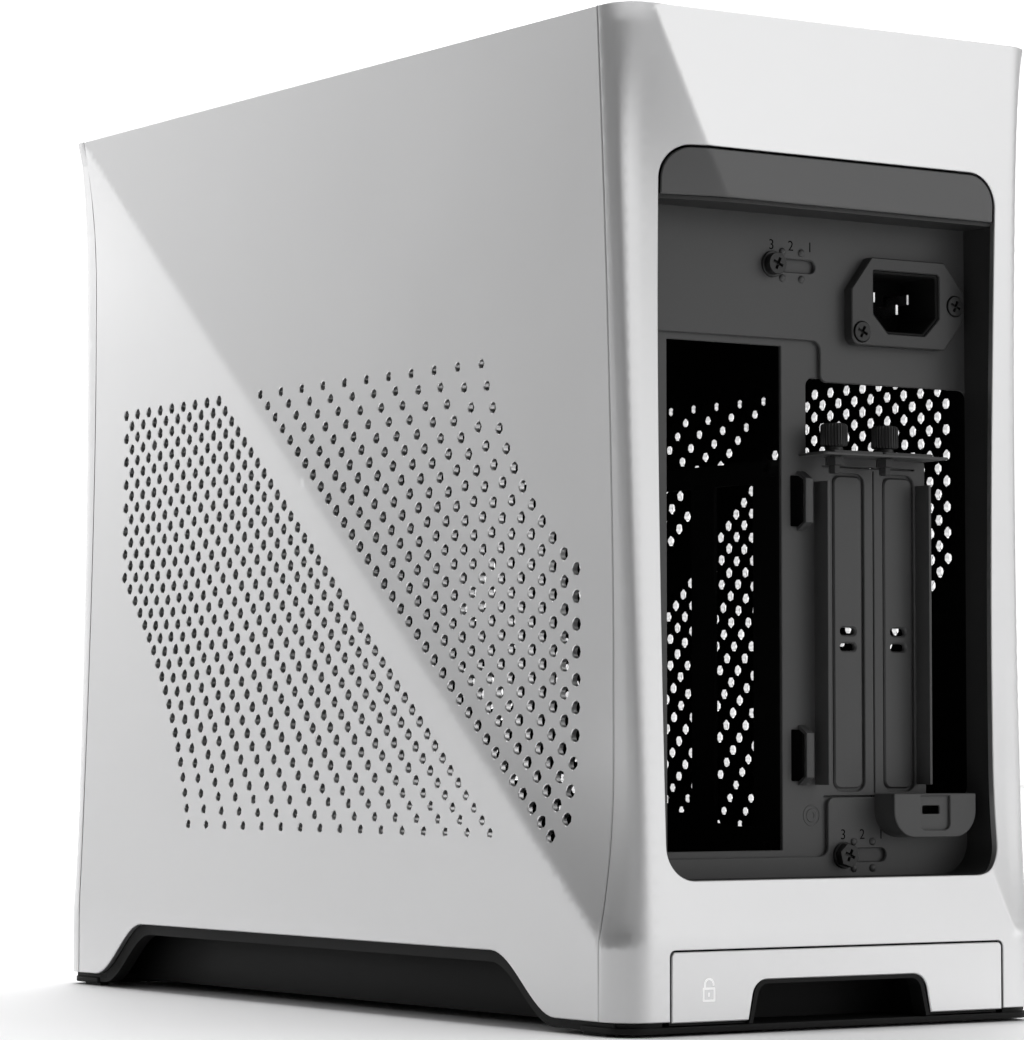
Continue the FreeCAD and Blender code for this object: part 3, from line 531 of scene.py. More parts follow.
BLACK_SCREW = new_material("black_screw", grey(0.03), 0.6, 0.36, 0.4, 0.25, 0.006, 0.12, 0.08)
DARK_MESH = new_material("dark_mesh", grey(0.012), 0.0, 0.8, 0.6, 0.6, 0.05, 0.2, 0.05)
# The board and brass colours are darkened far below their own colours: painted shade of the case's
# interior.
BOARD_PAINTED_SHADE = new_material("circuit_board", (0.004, 0.008, 0.006), 0.0, 0.5, 0.5, 1.2, 0.01, 0.2, 0.08)
BRASS_PAINTED_SHADE = new_material("brass_painted_shade", (0.05, 0.042, 0.03), 1.0, 0.4, 0.3, 0.2, 0.004, 0.08, 0.06)
JACKET = new_material("lead_jacket", grey(0.02), 0.0, 0.55, 0.5, 0.6, 0.02, 0.12, 0.06)
PRINT_AND_GLOW = new_material("printed_mark_painted_glow", grey(0.85), 0.0, 0.6, 0.3, 0.2, 0.002, 0.03, 0.04)
# Near-black with no gloss, for the slot digits: painted shade of engraved digits.
ENGRAVING_SHADE = new_material("engraving_painted_shade", grey(0.002), 0.0, 0.8, 0.4, 0.3, 0.01, 0.1, 0.05,
                    specular=0.0)
PAPER = new_material("floor_paper", grey(0.9), 0.0, 0.7, 0.2, 2.0, 0.01, 0.01, 0.03, 800.0)
# The white print also glows a little though it is no lamp: painted glow that brightens the printed
# padlock.
painted_glow = PRINT_AND_GLOW.node_tree.nodes["Principled BSDF"]
socket(painted_glow, "Emission Color", (1.0, 1.0, 1.0, 1.0))
socket(painted_glow, "Emission Strength", 0.35)
SLOT_MATERIAL = {
    "silver_aluminium": SILVER, "dark_band": DARK_BAND, "black_steel": BLACK_STEEL,
    "black_plastic": BLACK_PLASTIC, "inlet_plastic": INLET, "rubber": RUBBER,
    "bright_steel": BRIGHT, "black_screw": BLACK_SCREW, "dark_mesh": DARK_MESH,
    "circuit_board": BOARD_PAINTED_SHADE, "brass": BRASS_PAINTED_SHADE, "lead_jacket": JACKET,
}


# ---- The folded skin ----

def fade(rise):
    """How a face's hollow dies away towards its lower and upper edges."""
    low = 1 - np.clip(1 - rise / 0.2, 0, 1) ** 2.2
    high = 1 - np.clip((rise - 0.3) / 0.7, 0, 1) ** 1.6
    return np.minimum(low, high)


def hollow(across, rise):
    """How far a face stands in from flat, with both places given from 0 to 1."""
    side = across + rise - 1
    near = np.sqrt(side ** 2 + FOLD_SOFT ** 2)
    upper = fade(rise) * near / np.maximum(rise, FOLD_SOFT)
    lower = fade(1 - rise) * near / np.maximum(1 - rise, FOLD_SOFT)
    return FOLD_DEPTH * np.where(side > 0, upper, lower)


def face_depth(across, height):
    rise = (height - BAND_TOP) / (HEIGHT - BAND_TOP)
    deep = hollow(np.clip(across, 0, 1), np.clip(rise, 1e-6, 1 - 1e-6))
    return np.where((rise <= 0) | (rise >= 1), 0.0, deep)


LONG_HALF = HALF_LENGTH - CORNER
SHORT_HALF = HALF_WIDTH - CORNER
TURN_LENGTH = CORNER * math.pi / 2
CORNER_PULL = 0.56 * CORNER
SIDE_STEP = 0.01


def side_skin(points, depth):
    """The +X face from its own Y and Z."""
    def bare(flat):
        y, z = flat[:, 0], flat[:, 1]
        deep = face_depth((y + LONG_HALF) / (2 * LONG_HALF), z)
        return np.stack([HALF_WIDTH - deep, y, z], 1)
    return set_in(bare, points, depth)


def set_in(bare, points, depth):
    """A surface moved in along its own normal."""
    out = bare(points)
    if np.max(depth) == 0:
        return out
    normal = surface_normals(bare, points)
    outward = np.sign((normal[:, :2] * out[:, :2]).sum(1))
    return out - normal * outward[:, None] * depth


def cubic(start, lead, trail, end, t):
    u = 1 - t
    return u ** 3 * start + 3 * u * u * t * lead + 3 * u * t * t * trail + t ** 3 * end


def corner_curve(s, z):
    """X and Y round a corner and on to the side seam, leaving both faces smoothly."""
    side, reach = np.sign(s), np.abs(s)
    near, far = SIDE_STEP, 1 - SIDE_STEP
    rear_across = np.where(side > 0, 0.0, 1.0)
    rear_deep = face_depth(rear_across, z)
    rear_next = face_depth(np.where(side > 0, near, far), z)
    side_deep = face_depth(1 - rear_across, z)
    side_next = face_depth(np.where(side > 0, far, near), z)
    along = np.full(len(z), LONG_HALF)
    shorter = 1 - 2 * SIDE_STEP
    start = np.stack([side * SHORT_HALF, HALF_LENGTH - rear_deep], 1)
    before = np.stack([side * SHORT_HALF * shorter, HALF_LENGTH - rear_next], 1)
    end = np.stack([side * (HALF_WIDTH - side_deep), along], 1)
    after = np.stack([side * (HALF_WIDTH - side_next), along * shorter], 1)
    lead = start + unit(start - before) * CORNER_PULL
    trail = end + unit(end - after) * CORNER_PULL
    t = np.clip((reach - SHORT_HALF) / TURN_LENGTH, 0, 1)[:, None]
    past = np.maximum(reach - SHORT_HALF - TURN_LENGTH, 0)[:, None]
    return cubic(start, lead, trail, end, t) + unit(after - end) * past


def end_skin(points, depth):
    """The rear face and its two corners, from the distance round the outline and the height.

    The distance is X on the flat face, and goes on round each corner to the side seams.
    """
    def bare(flat):
        s, z = flat[:, 0], flat[:, 1]
        x = np.clip(s, -SHORT_HALF, SHORT_HALF)
        across = (SHORT_HALF - x) / (2 * SHORT_HALF)
        out = np.stack([x, HALF_LENGTH - face_depth(across, z), z], 1)
        bent = np.abs(s) > SHORT_HALF
        if bent.any():
            out[bent, :2] = corner_curve(s[bent], z[bent])
        return out
    return set_in(bare, points, depth)


SEAM_REACH = SHORT_HALF + TURN_LENGTH + (LONG_HALF - SEAM)


def arch_outline(places, top, low, steps=16):
    """Points along a wide arch, from its near foot to its far foot."""
    foot, shoulder, far_shoulder, far_foot = places
    out = []
    for start, end, first, last in ((foot, shoulder, low, top), (far_shoulder, far_foot, top, low)):
        lean = 0.35 * (end - start)
        for step in range(steps + 1):
            t = step / steps
            out.append((cubic(start, start + lean, end - lean, end, t),
                        cubic(first, first, last, last, t)))
    return out


# ---- Perforations of a side panel, in its own Y and Z ----

FIELD_LOW = 60.4
FIELD_TOP = 209.5
FIELD_FADE = 30
HOLE_PITCH = (4.65, 3.93)


def curve_points(start, pull, end, count):
    t = np.linspace(0, 1, count + 1)[:, None]
    start, pull, end = (np.array(point, float) for point in (start, pull, end))
    return (1 - t) ** 2 * start + 2 * t * (1 - t) * pull + t * t * end


def front_field():
    """Rows that run down from the top front, with smaller holes near the foot."""
    rows = []
    for line in range(16):
        if line <= 8:
            start = (-67.25 - 9.44 * line, FIELD_TOP)
        else:
            start = (-142.75, FIELD_TOP - 8.53 * (line - 8))
        end = (109.5 - 13.2 * line, FIELD_LOW)
        count = round(38 - 0.4 * line - max(0, 2 * (line - 8)))
        fall = HOLE_PITCH[1] + 0.37 * line / 15
        pull = (start[0] + count / 2 * HOLE_PITCH[0], start[1] - count / 2 * fall)
        for point in curve_points(start, pull, end, count):
            low_row = max(0.0, 1 - (point[1] - FIELD_LOW) / FIELD_FADE)
            rows.append((point[0], point[1], 1.88 - 0.4 * low_row))
    return rows


def rear_field():
    """Rows that run down to the rear, with smaller holes near the top."""
    rows = []
    for line in range(11):
        start = (-36.5 + 13.7 * line, FIELD_TOP)
        ease = min(1.0, line / 4)
        end = (148.25 + 3.0 * ease, 142.25 - 8.55 * (10 - line))
        if line == 0:
            end = (142.25, 60.0)
        count = round(35 - 2.4 * line)
        part = line / 10
        pull = (end[0] - count / 2 * (5.1 + 1.4 * part), end[1] + count / 2 * (4.27 + 0.48 * part))
        for point in curve_points(start, pull, end, count):
            top_row = max(0.0, 1 - (FIELD_TOP - point[1]) / FIELD_FADE)
            right = max(0.0, (point[0] - 100) / 50)
            rows.append((point[0], point[1], 1.9 - 0.4 * top_row + 0.12 * right))
    return rows


def apart(rows):
    """Drops a hole that would touch one already placed."""
    kept = []
    for x, y, radius in rows:
        if all((x - a) ** 2 + (y - b) ** 2 > (radius + r + 0.8) ** 2 for a, b, r in kept):
            kept.append((x, y, radius))
    return kept


def fold_points(half_across, low, high, step=3.0):
    """Extra points close to a face's diagonal fold, so that it stays straight."""
    out = []
    count = int(2 * half_across / step)
    for index in range(1, count):
        across = index / count
        for off in (-0.012, -0.004, 0.004, 0.012):
            rise = 1 - across + off
            if 0 < rise < 1:
                out.append((across, low + rise * (high - low)))
    return np.array(out)


def side_panel():
    edge = SEAM - GAP
    arch = arch_outline((-157, -122, 110, 146), 23.75, SKIN_BOTTOM)
    outline = [(-edge, SKIN_BOTTOM)] + arch + [(edge, SKIN_BOTTOM), (edge, HEIGHT), (-edge, HEIGHT)]
    fine = fold_points(LONG_HALF, BAND_TOP, HEIGHT)
    fine[:, 0] = (2 * fine[:, 0] - 1) * LONG_HALF
    band = np.stack([np.arange(-168, 169, 3.0), np.full(113, BAND_TOP)], 1)
    fine = np.concatenate([fine, band, band + [1.5, 1.2]])
    holes = apart(front_field() + rear_field())
    return sheet_piece("right_side_panel_skin", outline, [], side_skin, SKIN, 0.3, 5.0, holes,
                       fine=fine)


right_panel = side_panel()
left_panel = turned_copy(right_panel, "left_side_panel_skin")
stand(right_panel, "right_side_panel", SILVER)
stand(left_panel, "left_side_panel", SILVER)


# ---- Covers and the dark band ----

OPEN_HALF = 65.5
OPEN_LOW = 46.8
OPEN_HIGH = 271.8
BAND_LOW = 256.4
BAND_JOINT = 0.75
TRAY_GAP_HALF = 65.1
TRAY_GAP_TOP = 26.0


def cover_fine():
    """Extra points along the folds, the corners and the dark band's lower edge."""
    fine = fold_points(SHORT_HALF, BAND_TOP, HEIGHT, 1.0)
    fine[:, 0] = (1 - 2 * fine[:, 0]) * SHORT_HALF
    turn = SHORT_HALF + TURN_LENGTH * np.linspace(0.0, 1.0, 9)
    up = np.arange(8, HEIGHT, 6.0)
    corners = np.stack(np.meshgrid(turn, up), -1).reshape(-1, 2)
    other = corners * [-1, 1]
    band = np.stack([np.linspace(-88, 88, 72), np.full(72, BAND_TOP)], 1)
    return np.concatenate([fine, corners, other, band])


def rear_cover():
    low, tray, top = SKIN_BOTTOM, TRAY_GAP_HALF, TRAY_GAP_TOP
    outline = rounded_outline(
        [(-SEAM_REACH, low), (-tray, low), (-tray, top), (tray, top), (tray, low),
         (SEAM_REACH, low), (SEAM_REACH, HEIGHT), (-SEAM_REACH, HEIGHT)],
        [0, 0, 2, 2, 0, 0, 0, 0])
    opening = rectangle(-OPEN_HALF, OPEN_HALF, OPEN_LOW, OPEN_HIGH, 10.5, 14)
    return sheet_piece("rear_cover_skin", outline, [opening], end_skin, SKIN, 0.25, 4.0,
                       fine=cover_fine(), flip=True)


def rear_band():
    half, top = OPEN_HALF - BAND_JOINT, OPEN_HIGH - BAND_JOINT
    outline = rectangle(-half, half, BAND_LOW, top, [0.4, 0.4, 9.8, 9.8], 14)
    return sheet_piece("rear_band_skin", outline, [], end_skin, 2.5, 0.35, 3.0, fine=cover_fine(),
                       flip=True)


stand(rear_cover(), "rear_cover", SILVER)
stand(rear_band(), "rear_band", DARK_BAND)

# ---- Rear wall and the sliding spine behind it ----

WALL_LOW = 27.2
WALL_HIGH = 300.0
WALL_HALF = 72.0
PLATE_OUT = WALL - SHEET - GAP
PLATE_IN = PLATE_OUT - SHEET
SLOT_TRAVEL = 15.0
SPINE_SCREWS = {"spine_screw_top": (12.4, 239.4, 3.4), "spine_screw_bottom": (-15.1, 53.3, 3.6)}
SLOT_FIRST = -18.7
SLOT_PITCH = 20.32
SHELF_TOP = 180.0
SCREW_Y = WALL + 6
STRAP_LOWS = (75.3, 155.5)
WINDOW = (6.4, 73.4, 174.6)
RAISED = (5.7, 74.3, 173.7)
INLET_X = -38.5
INLET_Z = 229.5
INLET_SCREWS = ((-20.3, 219.5), (-58.4, 229.8))
MOUTH_WIDE = 12.6
MOUTH_TALL = 9.2
MOUTH_CUT = 5.4
PIN_PLACES = ((-7.0, 2.4), (7.0, 2.4), (0.0, -1.5))
DIGIT_SIZE = 4.6


def slot_outline(x, z):
    """The slot in the rear wall that a spine screw slides along."""
    half = 2.1
    return rectangle(x - SLOT_TRAVEL - half, x + half, z - half, z + half, half - 0.05, 8)


def digit(text, x, z):
    """A digit on the rear wall, read from outside, drawn as a thin near-black film without gloss:
    painted shade of an engraving.
    """
    curve = bpy.data.curves.new("digit", "FONT")
    curve.body = text
    curve.size = DIGIT_SIZE * MM
    curve.extrude = 0.03 * MM
    curve.offset = -0.02 * MM
    curve.align_x = "CENTER"
    holder = placed("digit", curve)
    bpy.context.view_layer.update()
    mesh = bpy.data.meshes.new_from_object(holder)
    bpy.data.objects.remove(holder)
    bpy.data.curves.remove(curve)
    piece = placed(f"digit_{text}", mesh)
    for vert in mesh.vertices:
        across, up, out = vert.co
        vert.co = (x * MM - across, (WALL + 0.02) * MM + out, z * MM + up)
    mesh.flip_normals()
    return piece


def dome(name, x, z, radius, rise):
    """A small pressed bump on the rear wall."""
    profile = []
    for step in range(7):
        turn = 0.5 * math.pi * step / 6
        profile.append((radius * math.cos(turn), rise * math.sin(turn)))
    profile[-1] = (0.0, rise)
    return lathe(name, [(radius, -0.3)] + profile, (x, WALL, z), "y", 20)


def rear_wall():
    outline = rectangle(-WALL_HALF, WALL_HALF, WALL_LOW, WALL_HIGH, 2.0)
    opening = rounded_outline(
        [(-66.5, 71.6), (-9.0, 71.6), (-9.0, 53.0), (61.0, 53.0), (61.0, 216.0), (-6.7, 216.0),
         (-6.7, 203.0), (-66.5, 203.0)], [3, 2.5, 3, 3, 3, 3, 2.5, 3], 7)
    holes = [opening]
    holes += [slot_outline(x, z) for x, z, _ in SPINE_SCREWS.values()]
    holes.append(rectangle(INLET_X - 14.4, INLET_X + 14.4, INLET_Z - 10.8, INLET_Z + 10.8, 0.5))
    parts = [coloured(flat_sheet("rear_wall_sheet", WALL, outline, holes, SHEET, 0.25),
                      BLACK_STEEL)]
    for x, z, _ in SPINE_SCREWS.values():
        for share in (0.27, 0.77):
            for up in (-4.2, 4.2):
                parts.append(coloured(dome("bump", x - share * SLOT_TRAVEL, z + up, 1.25, 0.8),
                                      BLACK_STEEL))
        # The digits take the near-black engraving material: painted shade.
        for place, text in enumerate("321"):
            base = z + (4.7 if z > 100 else 5.0)
            parts.append(coloured(digit(text, x + 0.2 - 7.6 * place, base), ENGRAVING_SHADE))
    return join("rear_wall_piece", parts)


def cover_shape(index, half, low, high, radius):
    """An upright shape in the middle of a slot."""
    middle = SLOT_FIRST - index * SLOT_PITCH
    return rectangle(middle - half, middle + half, low, high, radius, 8)


def strap(low):
    """A bridge pressed out of the spine plate, with sloping ends and open underneath."""
    tall, high = 19.1, 4.7
    outer = [(low, 0.0), (low + 2.6, high), (low + tall - 2.6, high), (low + tall, 0.0)]
    inner = [(low + tall - 1.3, 0.0), (low + tall - 3.2, high - 1.1), (low + 3.2, high - 1.1),
             (low + 1.3, 0.0)]
    outline = [(PLATE_OUT + out, z) for z, out in outer + inner]
    return prism("strap", outline, "x", -1.2, 1.8, 0.25)


def spine_plate():
    outline = rounded_outline(
        [(-50, 50), (-24, 50), (-24, 47.5), (-6, 47.5), (-6, 50), (62, 50), (62, 222), (21, 222),
         (21, 247), (-6, 247), (-6, 222), (-8.5, 222), (-8.5, 204.2), (-1.9, 204.2),
         (-1.9, SHELF_TOP), (-50, SHELF_TOP)],
        [2, 0, 1, 1, 0, 2, 3, 3, 2, 2, 0, 1, 1, 2.5, 0, 2], 5)
    holes = [rectangle(7.9, 52.1, 55.1, 213.8, 0.3)]
    holes += [cover_shape(index, *WINDOW, 3.2) for index in range(2)]
    for low in STRAP_LOWS:
        holes.append(rectangle(-1.6, 4.2, low + 1.5, low + 17.6, 0.3))
    # Narrow joints between the two covers and round them.
    joint = SLOT_FIRST - SLOT_PITCH / 2
    holes.append(rectangle(joint - 0.2, joint + 0.2, 72.9, 175.6, 0.1))
    holes.append(rectangle(-45.6, -8.5, 176.3, 176.7, 0.1))
    holes.append(rectangle(-45.6, -8.5, 71.6, 72.0, 0.1))
    parts = [flat_sheet("spine_sheet", PLATE_OUT, outline, holes, SHEET, 0.22)]
    parts += [strap(low) for low in STRAP_LOWS]
    for x in (-6.1, -47.0):
        parts.append(block("flange", (x, PLATE_OUT - 0.4, 75.5), (x + 1.0, WALL + 5.4, 171.4), 0.22))
    shelf = rectangle(-49.5, 1, PLATE_IN + 0.2, WALL + 12, [0, 0, 1.5, 1.5])
    screws = [circle(x, SCREW_Y, 2.0, 20) for x in screw_places()]
    parts.append(sheet_piece("shelf", shelf, screws, flat_surface("z", SHELF_TOP), 0.8, 0.2))
    proud = 0.5 * GAP
    rivet = lathe("rivet", [(1.0, -0.2), (1.0, proud), (2.0, proud), (2.3, -0.1), (3.0, -0.1),
                            (3.0, proud), (3.3, proud), (3.45, -0.1)],
                  (-3.5, PLATE_OUT, 65.9), "y", 32)
    parts.append(rivet)
    return join("spine_plate_piece", parts)


def screw_places():
    """The X of each slot cover's thumb screw."""
    return [SLOT_FIRST + 11.4, SLOT_FIRST + 11.4 - SLOT_PITCH]


def slot_cover(index):
    """A vented strip with a raised face, and a tab bent out over the shelf."""
    middle = SLOT_FIRST - index * SLOT_PITCH
    joint_gap = 0.6
    strip = rectangle(middle - SLOT_PITCH / 2 + joint_gap, middle + SLOT_PITCH / 2 - joint_gap,
                      70.5, SHELF_TOP, 0.5)
    vents = [rectangle(middle - 3, middle + 3, low, low + 2.4, 1.1) for low in (118, 123)]
    parts = [flat_sheet("strip", PLATE_IN - 0.02, strip, vents, 1.0, 0.2)]
    raised = cover_shape(index, *RAISED, 2.6)
    parts.append(flat_sheet("raised", PLATE_OUT - 0.25, raised, vents, 0.95, 0.5))
    tab = rectangle(middle - 5, middle + 14.9, PLATE_IN - 1, WALL + 10.5, 0.8)
    hole = circle(screw_places()[index], SCREW_Y, 2.0, 20)
    parts.append(sheet_piece("tab", tab, [hole], flat_surface("z", SHELF_TOP + 0.8), 0.75, 0.2))
    return join(f"slot_cover_{index + 1}_piece", parts)


def thumbscrew(index):
    """A knurled thumb screw with a collar and the threaded end below the shelf."""
    ribs = 26
    knurled = 4.35
    head = [(2.9, -0.05), (2.8, 1.0), (3.9, 1.2), (knurled, 1.7), (knurled, 4.0), (knurled, 7.6),
            (3.9, 8.2), (3.0, 8.5), (2.8, 8.4), (1.5, 8.6), (0, 8.65)]
    end = [(0, -7.4), (1.5, -7.4), (1.9, -6.8), (1.9, -4.8), (3.0, -4.7), (3.0, -2.2), (1.7, -2.1),
           (1.7, 0.0)]

    def groove(row, step):
        return 0.36 if head[row][0] == knurled and step % 4 in (2, 3) else 0.0

    base = (screw_places()[index], SCREW_Y, SHELF_TOP + 1)
    top = lathe("thumb_head", head, base, "z", 4 * ribs, groove)
    under = lathe("thumb_end", end, base, "z", 6, sharp=20)
    return join(f"thumbscrew_{index + 1}_piece", [top, under])


def cross_head(name, x, z, base, radius, thick, hexagon=False):
    """A screw head facing the rear: a flat rim round a real cross recess."""
    rim = circle(x, z, radius, 6 if hexagon else 40, 0.3)
    if hexagon:
        rim = rounded_outline(list(rim), 0.3, 4)
    half, arm = 0.42, 1.9
    cross = [(half, arm), (-half, arm), (-half, half), (-arm, half), (-arm, -half), (-half, -half),
             (-half, -arm), (half, -arm), (half, -half), (arm, -half), (arm, half), (half, half)]
    turn = math.radians(24)
    cosine, sine = math.cos(turn), math.sin(turn)
    hole = [(x + a * cosine - b * sine, z + a * sine + b * cosine) for a, b in cross]
    top = flat_sheet(name, base + thick, rim, [hole], thick, 0.12)
    floor = lathe("recess_floor", [(radius * 0.8, 0.0), (0.5, -0.2), (0, -0.3)],
                  (x, base + thick - 1.1, z), "y", 12)
    return [top, floor]


def washer(x, z, base, radius, thick):
    return lathe("washer", [(1.9, 0), (radius, 0), (radius, thick - 0.2), (radius - 0.2, thick),
                            (1.9, thick)], (x, base, z), "y", 40)


def spine_screw(node):
    x, z, radius = SPINE_SCREWS[node]
    parts = [washer(x, z, WALL + 0.05, 4.2, 0.9)]
    hexagon = node == "spine_screw_bottom"
    parts += cross_head(node + "_head", x, z, WALL + 0.9, radius + (0.3 if hexagon else 0.0), 2.5,
                        hexagon=hexagon)
    parts.append(lathe("shank", [(0, -6), (1.4, -6), (1.7, -5.6), (1.7, 0.2)], (x, WALL, z), "y", 20))
    return join(node + "_piece", parts)


def inlet_shape(grow=0.0):
    """The socket's mouth: flat on top, with its two lower corners cut off."""
    wide, tall = MOUTH_WIDE + grow, MOUTH_TALL + grow
    corner = MOUTH_CUT + grow * 0.6
    points = [(INLET_X - wide, INLET_Z - tall + corner), (INLET_X - wide + corner, INLET_Z - tall),
              (INLET_X + wide - corner, INLET_Z - tall), (INLET_X + wide, INLET_Z - tall + corner),
              (INLET_X + wide, INLET_Z + tall), (INLET_X - wide, INLET_Z + tall)]
    return rounded_outline(points, 0.8, 5)


def inlet_housing():
    flange = rounded_outline(
        [(INLET_X + x, INLET_Z + z) for x, z in (
            (-15.5, -14.2), (22.2, -14.2), (22.2, 3.6), (14.0, 14.1), (-15.5, 14.1), (-23.8, 4.6),
            (-23.8, -4.2))], [0.6, 3.2, 0.8, 0.6, 0.6, 2.6, 2.6], 6)
    holes = [inlet_shape(0.9)] + [circle(x, z, 3.25, 32) for x, z in INLET_SCREWS]
    parts = [coloured(flat_sheet("inlet_flange", WALL + 4, flange, holes, 4.0, 0.3), INLET)]
    # The stepped ledge inside the mouth, then the socket's walls and floor; the ledge and walls take
    # the near-black plinth plastic and the floor the near-black inside material, painted shade deeper
    # in the socket.
    ledge = flat_sheet("inlet_ledge", WALL + 3.1, inlet_shape(1.0), [inlet_shape()], 19.0, 0.3)
    parts.append(coloured(ledge, DARK_PLINTH))
    floor_holes = []
    for shift, rise in PIN_PLACES:
        x, z = INLET_X + shift, INLET_Z + rise
        floor_holes.append(rectangle(x - 1.05, x + 1.05, z - 2.05, z + 2.05, 0.2))
    floor = flat_sheet("inlet_floor", WALL - 15, inlet_shape(0.5), floor_holes, 8.9, 0.3)
    parts.append(coloured(floor, INSIDE_PAINTED_SHADE))
    for x, z in INLET_SCREWS:
        lug = flat_sheet("inlet_lug", WALL + 2.95, circle(x, z, 3.6, 32),
                         [circle(x, z, 1.8, 20)], 2.9, 0.2)
        parts.append(coloured(lug, INLET))
    return join("inlet_housing_piece", parts)


def inlet_pins():
    parts = []
    for shift, rise in PIN_PLACES:
        x, z = INLET_X + shift, INLET_Z + rise
        tip = WALL - 4.0 + (0 if shift else 3.0)
        parts.append(block("pin", (x - 0.55, WALL - 23, z - 1.7), (x + 0.55, tip, z + 1.7), 0.3, 3))
    return join("inlet_pins_piece", parts)


def inlet_screws():
    parts = []
    for x, z in INLET_SCREWS:
        parts += cross_head("inlet_screw", x, z, WALL + 2.97, 3.15, 1.6)
    return join("inlet_screws_piece", parts)


def slot_foot():
    """The bent foot under the slots, with a pressed pocket and its oblong hole."""
    body = rectangle(-60.8, -27.6, 58.8, 72.7, [8.5, 8.5, 0.4, 0.4], 10)
    pocket = rectangle(-50.2, -38.3, 61.1, 72.0, [2.2, 2.2, 0.2, 0.2])
    hole = rectangle(-46.6, -39.6, 66.2, 68.9, 0.5)
    front = flat_sheet("foot_front", WALL + 10.2, body, [pocket], 1.2, 0.25)
    sunk_outline = rectangle(-50.4, -38.1, 60.9, 72.3, [2.4, 2.4, 0.2, 0.2])
    sunk = flat_sheet("foot_pocket", WALL + 9.2, sunk_outline, [hole], 0.8, 0.12)
    rim = rectangle(-59.8, -28.6, 59.8, 71.7, [7.5, 7.5, 0, 0], 10)
    skirt = flat_sheet("foot_skirt", WALL + 9.3, body, [rim], 9.2, 0.1)
    return join("slot_foot_piece", [front, sunk, skirt])


stand(rear_wall(), "rear_wall")
stand(spine_plate(), "spine_plate", BLACK_STEEL)
for number in (1, 2):
    stand(slot_cover(number - 1), f"slot_cover_{number}", BLACK_STEEL)
    stand(thumbscrew(number - 1), f"thumbscrew_{number}", BLACK_SCREW)
for screw in SPINE_SCREWS:
    stand(spine_screw(screw), screw, BLACK_SCREW)
stand(inlet_housing(), "inlet_housing")
stand(inlet_pins(), "inlet_pins", BRIGHT)
stand(inlet_screws(), "inlet_screws", BLACK_SCREW)
stand(slot_foot(), "slot_foot_bracket", BLACK_STEEL)


# ---- Release tray ----

TRAY_HALF = 64.5
TRAY_LOW = 4.2
TRAY_HIGH = 25.4
PRINT_Y = HALF_LENGTH + 0.06


def finger_cut(half_top, half_bottom, top, radius, low):
    """The finger cut-out as points from its left foot to its right foot, seen along +Y."""
    outline = rounded_outline([(-half_bottom, -5.0), (half_bottom, -5.0), (half_top, top),
                               (-half_top, top)], [0, 0, radius, radius], 8)
    points = [point for point in outline if point[1] > low]
    share = (low + 5) / (top + 5)
    foot = half_bottom + (half_top - half_bottom) * share
    return [(foot, low)] + [tuple(point) for point in points] + [(-foot, low)]


def padlock(x, z):
    """An open padlock, printed as thin raised lines."""
    body = rectangle(x - 2.3, x + 2.3, z - 3.3, z + 0.9, 0.3)
    inside = rectangle(x - 1.75, x + 1.75, z - 2.75, z + 0.35, 0.1)
    parts = [flat_sheet("lock_body", PRINT_Y, body, [inside], 0.08, 0.01)]
    keyhole = rectangle(x - 0.32, x + 0.32, z - 1.8, z - 0.6, 0.25)
    parts.append(flat_sheet("lock_key", PRINT_Y, keyhole, [], 0.08, 0.01))
    arch = []
    for radius, way in ((1.9, 1), (1.35, -1)):
        turns = [math.pi * step / 12 for step in range(13)][::way]
        run = [(x - 0.1 + radius * math.cos(turn), z + 1.9 + radius * math.sin(turn))
               for turn in turns]
        near, far = (x - 0.1 + radius, z + 0.9), (x - 0.1 - radius, z + 1.5)
        arch += [near] + run + [far] if way == 1 else [far] + run + [near]
    parts.append(flat_sheet("lock_arch", PRINT_Y, np.array(arch), [], 0.08, 0.01))
    return join("padlock", parts)


def tray_face():
    cut = finger_cut(half_top=33.2, half_bottom=37.5, top=16.4, radius=5.5, low=TRAY_LOW)
    outline = [(-TRAY_HALF, TRAY_LOW)] + cut[::-1] + [(TRAY_HALF, TRAY_LOW)]
    outline += [tuple(point) for point in rounded_outline(
        [(TRAY_HALF, TRAY_LOW), (TRAY_HALF, TRAY_HIGH), (-TRAY_HALF, TRAY_HIGH),
         (-TRAY_HALF, TRAY_LOW)], [0, 1.5, 1.5, 0], 5)[1:-1]]
    outline = np.array(outline)
    face = coloured(flat_sheet("tray_plate", HALF_LENGTH, outline, [], 2.5, 0.3), SILVER)
    # The padlock is white print with a slight painted glow.
    mark = coloured(padlock(x=50.8, z=13.6), PRINT_AND_GLOW)
    return join("tray_face_piece", [face, mark])


stand(tray_face(), "tray_face")


# ---- Plinth under the silver skins ----

PLINTH_LOW = 0.9
PLINTH_MIDDLE = 2.9
PLINTH_HIGH = 4.3
SKIRT_AT = 66.4
SKIRT_TOP = 20.2
SKIRT_HALF = 158.0


def half_ring(sign, inset, low, high, reach):
    """One end of the plinth: a plate with rounded outer corners."""
    wide, far = HALF_WIDTH - inset, HALF_LENGTH - inset
    corners = [(-wide, far - reach), (wide, far - reach), (wide, far), (-wide, far)]
    radii = [1.0, 1.0, 9.0, 9.0]
    if sign < 0:
        corners = [(-x, -y) for x, y in corners]
    return prism("plinth_end", rounded_outline(corners, radii, 8), "z", low, high, 0.35)


